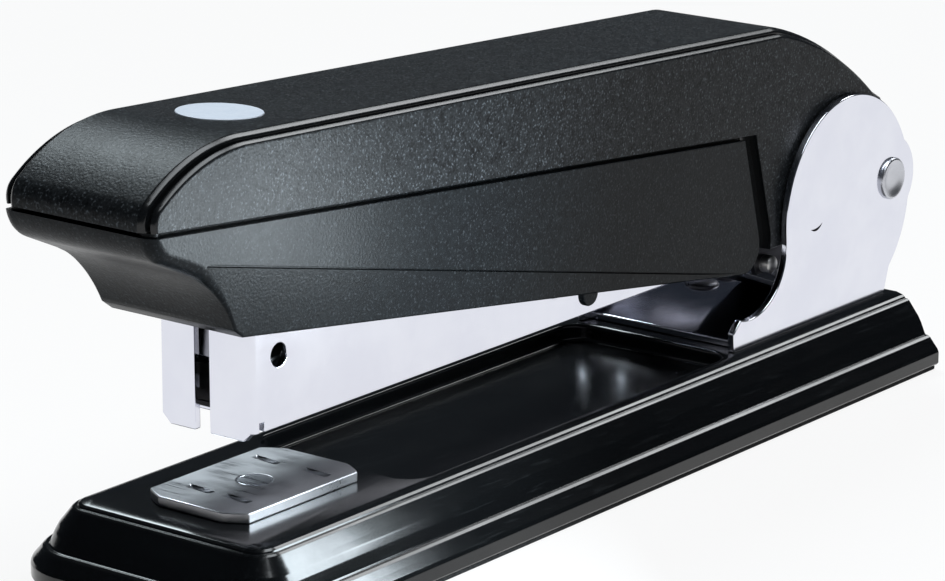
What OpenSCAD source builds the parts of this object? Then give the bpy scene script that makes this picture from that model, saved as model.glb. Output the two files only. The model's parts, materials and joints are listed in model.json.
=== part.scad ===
// Desk stapler with a long throat for booklets.
// Millimetres, +Z up, nose towards -Y, centred on X = 0, standing on Z = 0.
// Side-view outlines are written as [y, z] with y = 0 at the magazine's front face.

/* [Layout] */
// Distance from the magazine's front face back to the hinge axis
hinge_reach = 149.2; // [148:0.1:152]
// Height of the hinge axis above the table
hinge_z = 30.75; // [30.5:0.05:31.5]
// Radius of the hinge pin
pin_r = 3; // [2.5:0.1:3.2]
// Radial clearance of pieces that turn or slide on a pin or rod
run_gap = 0.06; // [0.03:0.01:0.09]
// Clearance between pieces that are fastened together
seat_gap = 0.03; // [0.01:0.01:0.05]

/* [Base] */
// Width of the base across its skirts
base_w = 48.5; // [47:0.1:52]
// How far the base reaches in front of the magazine's front face
base_front = 16; // [12:0.5:20]
// How far the base reaches behind the hinge axis
base_tail = 1.3; // [0:0.1:3]
// Height of the deck above the table
deck_z = 11.7; // [11.2:0.1:12.2]
// Thickness of the base's pressed sheet
base_t = 1.5; // [1.2:0.1:1.8]
// Corner radius of the base's front end, seen from above
base_corner_r = 10; // [10:0.5:14]
// Distance from the tray's rear end back to the hinge axis
tray_back = 45.2; // [44.5:0.1:47]
// Where the tray starts behind the magazine's front face
tray_front = 26; // [25:0.5:32]
// Width of the tray
tray_w = 30; // [26:0.5:30]
// Depth of the tray below the deck
tray_depth = 2.7; // [1.5:0.1:3]
// Corner radius of the tray
tray_r = 4; // [2:0.5:6]
// Thickness of the rubber sole under the skirts
sole_t = 0.8; // [0.5:0.1:1.2]
// How far the sole stands up inside the skirts
sole_rise = 1.2; // [0.8:0.1:1.6]

/* [Hinge bracket] */
// Width over the bracket's ears
bracket_w = 30; // [29.6:0.1:31]
// Sheet thickness of the bracket
ear_t = 1.2; // [1:0.1:1.3]
// Radius of the ear's large round top
ear_r = 17.8; // [17:0.1:18.5]
// Radius of the ear round the hinge pin
lobe_r = 6.9; // [6.5:0.1:7.5]
// How far the bracket's floor starts behind the tray
bracket_set = 3; // [2:0.5:5]
// Radius of the rivets that hold the bracket
rivet_r = 1.6; // [1.2:0.1:2]
// Length of the crescent pierced in each ear
moon_w = 3.3; // [2.8:0.1:3.6]

/* [Lift spring] */
// Width of the leaf spring under the magazine
leaf_w = 10; // [8:0.5:11]
// Thickness of the leaf spring
leaf_t = 0.8; // [0.6:0.1:1]

/* [Anvil] */
// Width of the anvil plate
anvil_w = 18; // [16:0.5:20]
// Length of the anvil plate
anvil_l = 27; // [24:0.5:28]
// Thickness of the anvil plate
anvil_t = 1.5; // [1.2:0.1:1.6]
// Distance from the staple line back to the anvil's turning axis
anvil_back = 7.65; // [7:0.05:8]
// Radius of the anvil's stem
stem_r = 2.5; // [2:0.1:3]
// Radius of the knob under the anvil's stem
knob_r = 5.5; // [5:0.1:6]
// Thickness of the knob
knob_h = 2; // [1.5:0.1:2.2]

/* [Magazine] */
// Outer width of the magazine
mag_w = 17; // [16.6:0.1:17.4]
// Sheet thickness of the magazine
mag_t = 1.2; // [1:0.05:1.3]
// Height of the magazine's underside above the table
mag_z = 23.6; // [23.4:0.1:24]
// Height of the magazine's side walls
mag_h = 14.6; // [14:0.1:15]
// Width of the slot between the front flaps
slot_w = 2.7; // [2:0.1:3]
// How far the front flaps reach below the side walls
flap_drop = 1.2; // [0.8:0.1:1.4]
// Radius of the round hole in each side wall
peep_r = 1.65; // [1.2:0.05:2]
// Outer width of the rail that the staples straddle
rail_w = 11.6; // [11.4:0.05:11.7]
// Sheet thickness of the rail
rail_t = 0.9; // [0.7:0.05:1]
// Height of the rail
rail_h = 6.8; // [6.6:0.1:7]
// Distance from the rail's rear end back to the hinge axis
rail_back = 31.2; // [30:0.1:36]
// Radius of the guide rod
rod_r = 1; // [0.8:0.05:1.1]

/* [Pusher] */
// Length of the pusher
pusher_l = 12; // [10:0.5:16]
// Height of the pusher's thumb tab
thumb_h = 3.8; // [3:0.1:4]
// Wire radius of the pusher spring
push_wire_r = 0.3; // [0.25:0.01:0.35]
// Mean coil radius of the pusher spring
push_coil_r = 1.85; // [1.7:0.05:1.9]
// Number of curls in the pusher spring
push_turns = 44; // [30:1:50]

/* [Handle] */
// Width of the handle's covers
cover_w = 26.7; // [26.5:0.1:26.9]
// Wall thickness of the covers' sides
cover_t = 2; // [1.6:0.1:2.1]
// Thickness of the covers' top and front
crown_t = 2.2; // [1.8:0.1:2.4]
// Height of the handle's top above the magazine's front face
crown_z = 66.72; // [66.2:0.05:67.2]
// Slope of the top, falling to the rear
top_slope = 3.21; // [3:0.01:3.4]
// Distance from the end of the flat top back to the hinge axis
top_back = 30.4; // [29.5:0.1:32]
// Radius of the nose's long upper curve
nose_r = 28; // [26:0.5:30]
// Radius of the nose's tip
tip_r = 3.9; // [3.5:0.1:4.2]
// Radius of the curled lip under the nose
lip_r = 5.4; // [5:0.1:5.8]
// Radius of the finger hollow behind the lip
hollow_r = 18; // [17:0.5:19]
// Height of the seam between the covers at the magazine's front face
seam_z = 54.9; // [54.5:0.1:55.2]
// Slope of the seam, falling to the rear
seam_slope = 5.41; // [5.2:0.01:5.6]
// Width of the seam
seam_gap = 0.6; // [0.5:0.1:1]
// Height of the side panel's lower line at the magazine's front face
panel_z = 48.05; // [47.6:0.05:48.5]
// Slope of the side panel's lower line, falling to the rear
panel_slope = 12.83; // [12.6:0.01:13]
// Height of the lower cover's hem at the magazine's front face
hem_z = 38.5; // [38.3:0.05:38.8]
// Slope of the hem, falling to the rear
hem_slope = 8.37; // [8.2:0.01:8.5]
// How far the hem stands in from the side panel
hem_inset = 0.75; // [0.4:0.05:1]
// Half width of the raised band along the top
band_x = 11.9; // [11.6:0.1:12.1]
// Width of the groove beside the top band
groove_w = 0.6; // [0.4:0.05:0.8]
// Depth of the groove beside the top band
groove_d = 1.6; // [1:0.1:1.8]
// How far the outer rim lies below the top band
rim_drop = 0.8; // [0.4:0.1:1]
// Radius of the disc on the nose
badge_r = 6; // [5:0.1:7]
// Where the disc sits behind the magazine's front face
badge_y = 3.7; // [0:0.1:8]

/* [Lever] */
// Sheet thickness of the lever
lever_t = 1; // [0.8:0.05:1.1]
// Outer width of the lever
lever_w = 21.2; // [21:0.1:21.6]
// Gap between the lever and the inside of the top cover
lever_gap = 2.2; // [1.8:0.1:2.6]
// Width of the driver blade
blade_w = 12.8; // [12.4:0.1:13]
// Thickness of the driver blade
blade_t = 0.7; // [0.5:0.05:0.8]
// Length of the driver blade
blade_l = 25; // [22:0.5:26]
// Height of the driver blade's end above the magazine's underside
blade_rise = 9; // [8.8:0.1:9.4]

/* [Hidden] */

$fn = 64;
eps = 0.01;
arc_steps = 24;
big = 200;

// Hinge and overall length, which centre the part on Y = 0
hinge = [hinge_reach, hinge_z];
throat = hinge_reach - tray_back;
rail_end = hinge_reach - rail_back;
top_end = hinge_reach - top_back;
nose_top = [-5, crown_z + 5 * tan(top_slope)];
up_normal = [sin(top_slope), cos(top_slope)];
nose_c = nose_top - nose_r * up_normal;
nose_end_a = 127;
tip_c = nose_c + (nose_r - tip_r) * [cos(nose_end_a), sin(nose_end_a)];
nose_reach = tip_r - tip_c[0];
total_l = nose_reach + hinge_reach + lobe_r;
staple_y = nose_reach - total_l / 2;

// Base
skirt_x = base_w / 2;
base_end = hinge_reach + base_tail;
floor_z = deck_z + ear_t;
tray_z = deck_z - tray_depth;
tray_wall_z = deck_z - base_t / 2;
// Steps of the shoulder, from the deck's edge out and down to the skirt's top
shoulder = [[-8.35, 0], [-7.35, -0.25], [-6.8, -0.6], [-6.65, -0.9], [-6.3, -0.9], [-5.85, -1.15],
    [-5.35, -1.6], [-4.7, -2.6], [-4.05, -3.4], [-3.45, -4.45], [-2.75, -6.05], [-2.55, -6.3],
    [-2.15, -6.3], [-1.55, -6.7], [-0.85, -7.35], [-0.25, -8], [0, -8.5]];
// Inside of the pressed shoulder
shoulder_in = [[-7.8 - base_t, -base_t], [-5.5 - base_t, -1.5 - base_t], [-3.7 - base_t, -6.6],
    [-0.2 - base_t, -9.1]];
skirt_in = 0.2 + base_t;

// Hinge bracket
bracket_y = throat + bracket_set;
bracket_end = hinge_reach - 1.2;
ear_in = bracket_w / 2 - ear_t;
ear_off = [-12.2, -1.95];
ear_c = hinge + ear_off;
ear_fillet_r = 9.8;
ear_fillet_off = [-39.65, -4.85];
ear_fillet_c = hinge + ear_fillet_off;
toe_back = 44.2;
toe_y = hinge_reach - toe_back;
ear_meet_a = 6.3;
moon_off = [-21.6, -3.5];
moon_c = hinge + moon_off;
moon_tilt = 10;
moon_out_r = 2.2;
moon_in_r = 4.5;
rivet_x = 9;
rivet_set = [24, 31];
rivet_y = [bracket_y + rivet_set[0], bracket_y + rivet_set[1]];
rivet_rim = 1.2;
rivet_taper = 0.7;
rivet_head_r = rivet_r + rivet_rim;
rivet_foot_r = rivet_head_r - rivet_taper / 2;
rivet_head_h = 0.9;
pin_rim = 0.4;
pin_head_r = pin_r + pin_rim;
pin_head_h = 0.65;

// Lift spring
leaf_foot = [bracket_y + 29, bracket_end - 1];
leaf_tip = bracket_y + 2;
leaf_rivet_y = leaf_foot[1] - 5;
leaf_rivet_r = 1.4;
leaf_gap = 0.2;

// Anvil
staple_line = 2;
anvil_y = staple_line + anvil_back;
anvil_z = deck_z + anvil_t;
anvil_round_r = anvil_l / 2 + 1.1;
clinch_r = 5;
clinch_w = 1.4;
clinch_d = 0.7;
clinch_x = 3.4;
knob_z = sole_t + 0.6;
knob_hole_r = knob_r + 1.5;
anvil_wire_r = 0.4;
anvil_coil_r = stem_r + 1.2;
anvil_turns = 4;

// Magazine
mag_x = mag_w / 2;
mag_in = mag_x - mag_t;
slot_x = -0.8;
mag_top = mag_z + mag_h;
mag_floor = mag_z + mag_t;
mag_floor_y = 5;
mag_floor_end = hinge_reach - 21;
mag_lobe_r = 6.2;
flap_z = mag_z - flap_drop;
flap_cut = [1.8, 2];
peep = [5.35, mag_z + 10.2];
relief = [1, 1.4];
rail_y = 3.1;
rail_x = rail_w / 2;
rail_top = mag_floor + rail_h;
rod_z = mag_floor + rail_t + 2.6;
lug_t = 0.9;
block_l = 4;
block_y = rail_end - block_l;
rod_end = rail_end + 1.5;
rail_rivet_r = 1.5;
rail_rivet_set = 25;
rail_rivet_y = [rail_y + rail_rivet_set, rail_end - rail_rivet_set];

// Pusher
pusher_y = rail_y + lug_t + 0.4;
pusher_top = rail_top + 0.3;
pusher_cap = 1.1;
pusher_leg = [rail_x + 0.3, mag_in - 0.4];
pusher_stem_x = rail_x - rail_t - 0.4;
pusher_rear = pusher_y + pusher_l;
thumb_t = 2.4;
thumb_w = 8;
push_end_gap = 0.3;

// Handle spring, a torsion coil round the hinge pin with two legs
coil_wire_r = 0.6;
coil_room = 1.1;
coil_r = pin_r + coil_wire_r + coil_room;
coil_turns = 4;
coil_half_x = 3.6;
coil_start_a = -90;
coil_end_a = 60;
coil_leg_l = 25;
coil_leg_y = hinge_reach - coil_leg_l;
leg_gap = 0.2;

// Covers
cover_x = cover_w / 2;
cover_in = cover_x - cover_t;
hem_x = cover_x - hem_inset;
bend_r = 10;
bend_c = [top_end, top_z(top_end)] - bend_r * up_normal;
bend_end_a = 74;
rear_r = 70;
rear_c = bend_c + (bend_r - rear_r) * [cos(bend_end_a), sin(bend_end_a)];
rear_end_a = 48;
tail_r = 6.3;
tail_a = [40, -58];
skirt_z = hinge_z - tail_r * sin(-tail_a[1]);
lip_c = [lip_r - nose_reach, seam_z + seam_slope_drop(-nose_reach) + 0.35];
seam_front = seam(-nose_reach);
tip_start_a = 180 + asin((tip_c[1] - seam_front - seam_gap / 2) / tip_r);
lip_a = [180 + asin((lip_c[1] - seam_front + seam_gap / 2) / lip_r), 245];
hollow_a = [65, 22];
lip_run = 5.8;
lip_dir = [-sin(lip_a[1]), cos(lip_a[1])];
hollow_c = lip_c + (lip_r + hollow_r) * [cos(lip_a[1]), sin(lip_a[1])] + lip_run * lip_dir;
panel_back = 39.6;
panel_end = hinge_reach - panel_back;
panel_lean = 4.6;
panel_foot_r = 4;
panel_foot_c = [panel_end + panel_lean - panel_foot_r, hinge_z - 3.95];
panel_foot_a = 15;
tail_gap = 3;
skirt_a = asin((skirt_z - panel_foot_c[1]) / (panel_foot_r + tail_gap));
rabbet_gap = 0.3;
rabbet_t = 0.9;
tongue_t = 0.85;
tongue_h = 2;
tongue_y = [-14, panel_end - 1];
hem_y = -5.7;
hem_lug_r = 1.9;
hem_lug_y = 71.3;
hem_lug_rise = 0.3;
badge_t = 0.55;
badge_seat = 0.4;

// Lever, driver and fasteners of the handle
lever_x = lever_w / 2;
lever_in = lever_x - lever_t;
lever_drop = crown_t + lever_gap;
lever_y = 3.8;
lever_lobe_r = 6;
lever_bend_set = 0.3;
lever_rear_off = [-9, 13];
lever_rear = hinge + lever_rear_off;
stud_off = [-29.7, -8.5];
stud = hinge + stud_off;
stud_r = 1.4;
stud_pin_r = 1;
stud_l = 2;
blade_tilt = 4.2;
blade_z = mag_z + blade_rise;
blade_y = mag_t + 0.45;
tab_rise = 13.5;
tab_l = 15.4;
driver_rivet_x = 3.5;
driver_rivet_h = 19;
driver_rivet_r = 1.2;
driver_head_r = 2;
driver_head_h = 0.5;
screw_r = 1.5;
screw_head_r = 2.7;
screw_head_h = 1.6;
boss_r = 3.3;
screw_cover = 1.8;
lever_screw_set = [30.2, 22.8];
lever_screw_y = [lever_y + lever_screw_set[0], top_end - lever_screw_set[1]];

// Heights along the sloping lines of the handle, at distance y behind the magazine's front face
function seam_slope_drop(y) = -y * tan(seam_slope);
function top_z(y) = crown_z - y * tan(top_slope);
function seam(y) = seam_z + seam_slope_drop(y);
function panel(y) = panel_z - y * tan(panel_slope);
function hem(y) = hem_z - y * tan(hem_slope);

function arc(c, r, a, n = arc_steps) =
    [for (i = [0:n]) let (t = a[0] + (a[1] - a[0]) * i / n) c + r * [cos(t), sin(t)]];

// Upper outline of the handle from the seam at the nose over the top to the rear, drawn in by d
function crown(d) = concat(
    arc(tip_c, tip_r - d, [tip_start_a, nose_end_a]),
    arc(nose_c, nose_r - d, [nose_end_a, 90 - top_slope]),
    arc(bend_c, bend_r - d, [90 - top_slope, bend_end_a]),
    arc(rear_c, rear_r - d, [bend_end_a, rear_end_a]));

// Underside of the nose from the seam to the hem, drawn in by d
function lip(d) = concat(
    arc(lip_c, lip_r - d, lip_a),
    arc(hollow_c, hollow_r + d, hollow_a));

// Round foot of the side panel's rear edge, moved back by d and starting at angle a
function panel_rear(d, a = -90 - hem_slope) = arc(panel_foot_c, panel_foot_r + d, [a, panel_foot_a]);

// Frames and extrusions
module at_staple() { translate([0, staple_y, 0]) children(); }
module slab(x0, x1) { rotate([90, 0, 90]) translate([0, 0, x0]) linear_extrude(x1 - x0) children(); }
module wide(half) { slab(-half, half) children(); }
module both_sides(x0, x1) {
    slab(x0, x1) children();
    slab(-x1, -x0) children();
}
module along(y0, y1) { translate([0, y1, 0]) rotate([90, 0, 0]) linear_extrude(y1 - y0) children(); }
module cross_rod(c, r, x0, x1) { slab(x0, x1) translate(c) circle(r); }
module on_top(y) { translate([0, y, top_z(y)]) rotate([-top_slope, 0, 0]) children(); }
module on_blade() { translate([0, blade_y, blade_z]) rotate([-blade_tilt, 0, 0]) children(); }

// Plan of the base, drawn in by d, round at the front corners
module base_plan(d) {
    r = base_corner_r - d;
    for (s = [-1, 1]) translate([s * (skirt_x - base_corner_r), base_corner_r - base_front]) circle(r);
    translate([base_corner_r - skirt_x, d - base_front])
        square([base_w - 2 * base_corner_r, base_end + base_front - 2 * d]);
    translate([d - skirt_x, base_corner_r - base_front])
        square([base_w - 2 * d, base_end + base_front - base_corner_r - d]);
}

module round_plan(x, y0, y1, r) {
    for (s = [-1, 1], y = [y0 + r, y1 - r]) translate([s * (x - r), y]) circle(r);
    translate([-x, y0 + r]) square([2 * x, y1 - y0 - 2 * r]);
    translate([r - x, y0]) square([2 * (x - r), y1 - y0]);
}

// Body whose shoulder runs along both sides and round the front, down to low_z and back to y_end
module base_form(steps, low_z, y_end) {
    last = steps[len(steps) - 1];
    edge = concat([for (p = steps) [p[0], deck_z + p[1]]], [[last[0], low_z]]);
    top = edge[0][1];
    corner = [skirt_x - base_corner_r, base_corner_r - base_front];
    for (s = [0, 1]) mirror([s, 0, 0]) {
        along(corner[1], y_end)
            polygon(concat([[0, low_z], [0, top]], [for (p = edge) [skirt_x + p[0], p[1]]]));
        translate([corner[0], corner[1], 0]) rotate(-90) rotate_extrude(angle = 90)
            polygon(concat([[0, low_z], [0, top]], [for (p = edge) [base_corner_r + p[0], p[1]]]));
    }
    wide(corner[0]) polygon(concat([[corner[1], low_z], [corner[1], top]],
        [for (p = edge) [-base_front - p[0], p[1]]]));
}

// Wire swept along a path; ref is a direction that the path never runs along
function unit(v) = v / norm(v);
function heading(p, i) = unit(p[min(i + 1, len(p) - 1)] - p[max(i - 1, 0)]);
function ring(p, i, r, ref, sides) =
    let (t = heading(p, i), u = unit(cross(t, ref)), v = cross(t, u))
    [for (k = [0:sides - 1]) p[i] + r * (cos(360 * k / sides) * u + sin(360 * k / sides) * v)];
module wire(path, r, ref, sides = 6) {
    n = len(path);
    points = [for (i = [0:n - 1]) each ring(path, i, r, ref, sides)];
    skin = [for (i = [0:n - 2], k = [0:sides - 1])
        let (a = i * sides + k, b = i * sides + (k + 1) % sides)
        each [[a, b, b + sides], [a, b + sides, a + sides]]];
    first = [for (k = [1:sides - 2]) [0, k + 1, k]];
    last = [for (k = [1:sides - 2]) let (m = (n - 1) * sides) [m, m + k, m + k + 1]];
    polyhedron(points, concat(skin, first, last));
}

// Least gap between a coil's neighbouring curls, measured on its ring centres
curl_rings = 8;
function curl_gap(p, r) =
    min([for (i = [0:len(p) - 1], j = [i + curl_rings - 2:1:min(i + curl_rings + 2, len(p) - 1)])
        norm(p[i] - p[j])]) - 2 * r;

// Ring centres of the three coil springs
push_y = [pusher_rear + push_end_gap + push_wire_r, block_y - push_end_gap - push_wire_r];
push_path = [for (i = [0:push_turns * curl_rings])
    let (a = 360 * i / curl_rings, f = i / (push_turns * curl_rings))
    [push_coil_r * cos(a), push_y[0] + f * (push_y[1] - push_y[0]), rod_z + push_coil_r * sin(a)]];
anvil_coil_z = [knob_z + knob_h + anvil_wire_r + 0.1, deck_z - base_t - anvil_wire_r - 0.1];
anvil_path = [for (i = [0:anvil_turns * curl_rings])
    let (a = 360 * i / curl_rings, f = i / (anvil_turns * curl_rings))
    [anvil_coil_r * cos(a), anvil_y + anvil_coil_r * sin(a),
        anvil_coil_z[0] + f * (anvil_coil_z[1] - anvil_coil_z[0])]];
coil_sweep = 360 * coil_turns + coil_end_a - coil_start_a;
coil_rings = ceil(coil_sweep / 360 * curl_rings);
coil_path = [for (i = [0:coil_rings])
    let (a = coil_start_a + coil_sweep * i / coil_rings)
    [coil_half_x * (2 * i / coil_rings - 1), hinge[0] + coil_r * cos(a), hinge[1] + coil_r * sin(a)]];
leg_dir = [0, -sin(coil_end_a), cos(coil_end_a)];
leg_top = coil_path[coil_rings];
web_dir = unit(lever_rear - [top_end, top_z(top_end) - lever_drop]);
web_normal = [-web_dir[1], web_dir[0]];
web_face = web_normal * lever_rear - lever_t - coil_wire_r - leg_gap;
leg_l = (web_face - web_normal * [leg_top[1], leg_top[2]]) / (web_normal * [leg_dir[1], leg_dir[2]]);
spring_path = concat(
    [[-coil_half_x, coil_leg_y, mag_floor + coil_wire_r + leg_gap]], coil_path, [leg_top + leg_l * leg_dir]);

echo(pusher_spring_gap = curl_gap(push_path, push_wire_r));
echo(anvil_spring_gap = curl_gap(anvil_path, anvil_wire_r));
echo(handle_spring_gap = curl_gap(coil_path, coil_wire_r));

// Base
module base_plate() at_staple() color("#101114") difference() {
    union() {
        difference() {
            base_form(shoulder, sole_t, base_end);
            base_form(shoulder_in, 0, base_end - skirt_in);
        }
        translate([-tray_w / 2 - base_t, tray_front - base_t, tray_z - base_t])
            cube([tray_w + 2 * base_t, throat - tray_front + 2 * base_t, tray_wall_z - tray_z + base_t]);
    }
    translate([0, 0, tray_z]) linear_extrude(big) round_plan(tray_w / 2, tray_front, throat, tray_r);
    translate([0, anvil_y, 0]) cylinder(r = stem_r + run_gap, h = big);
    at_rivets() cylinder(r = rivet_r + seat_gap, h = big);
}

module sole_pad() at_staple() color("#1c1c1d") difference() {
    union() {
        linear_extrude(sole_t) base_plan(0.4);
        linear_extrude(sole_t + sole_rise) base_plan(skirt_in + seat_gap);
    }
    translate([0, anvil_y, -1]) cylinder(r = knob_hole_r, h = big);
}

// Hinge bracket
module at_rivets() { for (s = [-1, 1], y = rivet_y) translate([s * rivet_x, y, 0]) children(); }

module ear_outline() difference() {
    intersection() {
        union() {
            translate(ear_c) circle(ear_r);
            translate(hinge) circle(lobe_r);
            polygon([[toe_y, deck_z], [toe_y, deck_z + 3], [toe_y + 1, deck_z + 4.1],
                ear_fillet_c + ear_fillet_r * [cos(ear_meet_a), sin(ear_meet_a)], ear_c,
                hinge + [4, -5.4], hinge + [1, -12.3], [bracket_end, deck_z]]);
        }
        translate([0, deck_z]) square(big);
    }
    translate(ear_fillet_c) circle(ear_fillet_r);
    translate(hinge) circle(pin_r + seat_gap);
    translate(moon_c) rotate(moon_tilt) difference() {
        translate([0, sqrt(pow(moon_out_r, 2) - pow(moon_w / 2, 2))]) circle(moon_out_r);
        translate([0, sqrt(pow(moon_in_r, 2) - pow(moon_w / 2, 2))]) circle(moon_in_r);
    }
}

module hinge_bracket() at_staple() color("#dfe0ea") difference() {
    union() {
        both_sides(ear_in, bracket_w / 2) ear_outline();
        translate([-ear_in - eps, bracket_y, deck_z])
            cube([2 * (ear_in + eps), bracket_end - bracket_y, ear_t]);
    }
    at_rivets() cylinder(r = rivet_r + seat_gap, h = big);
    translate([0, leaf_rivet_y, deck_z - 1]) cylinder(r = leaf_rivet_r + seat_gap, h = ear_t + 2);
}

module bracket_rivets() at_staple() color("#c9cad2") at_rivets() {
    translate([0, 0, floor_z]) cylinder(r1 = rivet_head_r, r2 = rivet_head_r - rivet_taper, h = rivet_head_h);
    translate([0, 0, deck_z - base_t - rivet_head_h])
        cylinder(r = rivet_r, h = base_t + ear_t + rivet_head_h + eps);
    translate([0, 0, deck_z - base_t - rivet_head_h]) cylinder(r = rivet_foot_r, h = rivet_head_h);
}

module pin_head() rotate_extrude() polygon([[0, 0], [pin_head_r, 0], [pin_head_r, pin_head_h / 2],
    [pin_head_r - 0.5, pin_head_h], [pin_head_r / 2, pin_head_h - 0.2], [0, pin_head_h - 0.3]]);

module hinge_pin() at_staple() color("#c4c6d0") translate([0, hinge[0], hinge[1]]) {
    rotate([0, 90, 0]) cylinder(r = pin_r, h = bracket_w, center = true);
    for (s = [-1, 1]) translate([s * bracket_w / 2, 0, 0]) rotate([0, s * 90, 0]) pin_head();
}

// Leaf spring that lifts the magazine
module lift_spring() at_staple() color("#2b2c31") difference() {
    wide(leaf_w / 2) polygon([[leaf_foot[1], floor_z], [leaf_foot[0], floor_z],
        [leaf_tip + 3, mag_z - leaf_gap - leaf_t - 0.9], [leaf_tip, mag_z - leaf_gap - leaf_t],
        [leaf_tip, mag_z - leaf_gap], [leaf_tip + 3.3, mag_z - leaf_gap - 0.6],
        [leaf_foot[0] + 0.3, floor_z + leaf_t], [leaf_foot[1], floor_z + leaf_t]]);
    translate([0, leaf_rivet_y, 0]) cylinder(r = leaf_rivet_r + seat_gap, h = floor_z + leaf_t + 1);
}

module lift_spring_rivet() at_staple() color("#9a9ba3") translate([0, leaf_rivet_y, 0]) {
    translate([0, 0, deck_z]) cylinder(r = leaf_rivet_r, h = ear_t + leaf_t + eps);
    translate([0, 0, floor_z + leaf_t]) cylinder(r1 = leaf_rivet_r + 1, r2 = leaf_rivet_r + 0.4, h = 0.8);
}

// Anvil
module anvil_plate() at_staple() color("#b9bac0") translate([0, anvil_y, deck_z]) difference() {
    linear_extrude(anvil_t) intersection() {
        square([anvil_w, anvil_l], center = true);
        circle(anvil_round_r);
    }
    cylinder(r = stem_r + seat_gap, h = 3 * anvil_t, center = true);
    for (s = [-1, 1], t = [-1, 1])
        translate([s * (t > 0 ? clinch_x + 1.2 : clinch_x), t * anvil_back, anvil_t + clinch_r - clinch_d])
            rotate([90, 0, 0]) cylinder(r = clinch_r, h = clinch_w, center = true);
}

module anvil_stem() at_staple() color("#a7a8ae") translate([0, anvil_y, knob_z]) {
    cylinder(r = stem_r, h = anvil_z - knob_z - seat_gap);
    cylinder(r = knob_r, h = knob_h);
}

module anvil_spring() at_staple() color("#8d8e94") wire(anvil_path, anvil_wire_r, [0, 0, 1]);

// Magazine
module magazine_wall() difference() {
    union() {
        polygon([[0, mag_z], [mag_floor_end, mag_z], hinge - [0, mag_lobe_r], hinge + [0, mag_lobe_r],
            [mag_floor_end - 4, mag_top], [0, mag_top]]);
        translate(hinge) circle(mag_lobe_r);
    }
    translate(hinge) circle(pin_r + run_gap);
    translate(peep) circle(peep_r);
    translate([mag_t, mag_z - eps]) square(relief);
}

module magazine_channel() at_staple() color("#e2e3ec") {
    difference() {
        union() {
            both_sides(mag_in, mag_x) magazine_wall();
            translate([-mag_in - eps, mag_floor_y, mag_z])
                cube([2 * (mag_in + eps), mag_floor_end - mag_floor_y, mag_t]);
            along(0, mag_t) for (s = [-1, 1])
                polygon([[slot_x + s * slot_w / 2, flap_z], [s * (mag_x - flap_cut[0]), flap_z],
                    [s * mag_x, flap_z + flap_cut[1]], [s * mag_x, mag_top],
                    [slot_x + s * slot_w / 2, mag_top]]);
        }
        at_rail_rivets() cylinder(r = rail_rivet_r + seat_gap, h = big);
    }
}

module at_rail_rivets() { for (y = rail_rivet_y) translate([0, y, 0]) children(); }

module core_rail() at_staple() color("#403e3b") difference() {
    along(rail_y, rail_end) difference() {
        translate([-rail_x, mag_floor]) square([rail_w, rail_h]);
        translate([rail_t - rail_x, mag_floor + rail_t]) square([rail_w - 2 * rail_t, rail_h]);
    }
    at_rail_rivets() cylinder(r = rail_rivet_r + seat_gap, h = big);
}

module rail_rivets() at_staple() color("#9fa0a7") at_rail_rivets()
    translate([0, 0, mag_z]) cylinder(r = rail_rivet_r, h = mag_t + rail_t);

module rod_seat(y, l) along(y, y + l) difference() {
    translate([rail_t - rail_x, mag_floor + rail_t]) square([rail_w - 2 * rail_t, rail_h - rail_t - 0.6]);
    translate([0, rod_z]) circle(rod_r + seat_gap);
}

module guide_rod() at_staple() color("#c2c3c9") along(rail_y, rod_end) translate([0, rod_z]) circle(rod_r);

// Front lug and rear block that hold the guide rod in the rail
module rod_block() at_staple() color("#403e3b") {
    rod_seat(rail_y, lug_t);
    rod_seat(block_y, block_l);
}

module hinge_washers() at_staple() color("#d9d3bd") both_sides(mag_x + 0.1, lever_in - 0.1)
    translate(hinge) difference() {
        circle(pin_r + 2.2);
        circle(pin_r + run_gap);
    }

module handle_spring() at_staple() color("#a3a4ab") wire(spring_path, coil_wire_r, [1, 0, 0]);

// Pusher
module pusher() at_staple() color("#3a3b40") {
    along(pusher_y, pusher_rear) difference() {
        union() {
            translate([-pusher_leg[1], pusher_top]) square([2 * pusher_leg[1], pusher_cap]);
            for (s = [-1, 1]) translate([s > 0 ? pusher_leg[0] : -pusher_leg[1], pusher_top - 4.9])
                square([pusher_leg[1] - pusher_leg[0], 4.9 + eps]);
            translate([-pusher_stem_x, mag_floor + rail_t + 0.6])
                square([2 * pusher_stem_x, pusher_top - mag_floor - rail_t - 0.6 + eps]);
        }
        translate([0, rod_z]) circle(rod_r + run_gap);
    }
    translate([-thumb_w / 2, pusher_rear - thumb_t - 1, pusher_top + pusher_cap - eps])
        cube([thumb_w, thumb_t, thumb_h]);
}

module pusher_spring() at_staple() color("#b4b5bb") wire(push_path, push_wire_r, [0, 1, 0]);

// Handle covers
module top_outline(d) polygon(concat(crown(d), arc(hinge, tail_r, tail_a), panel_rear(tail_gap, skirt_a),
    [for (y = [panel_end + tail_gap, tip_c[0]]) [y, seam(y) + seam_gap / 2]]));

module top_cavity() polygon(concat(crown(crown_t),
    [hinge + [20, 10], hinge + [20, -big], [lip_c[0], -big], lip_c]));

// Strip that closes the gap behind the side panel from inside
module rabbet_outline() polygon(concat(
    panel_rear(tail_gap + 1, skirt_a), [[panel_end + tail_gap + 1, seam(panel_end) + 1]],
    [[panel_end + rabbet_gap, seam(panel_end) + 1]],
    [for (t = [panel_foot_a, skirt_a]) panel_foot_c + (panel_foot_r + rabbet_gap) * [cos(t), sin(t)]]));

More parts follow.
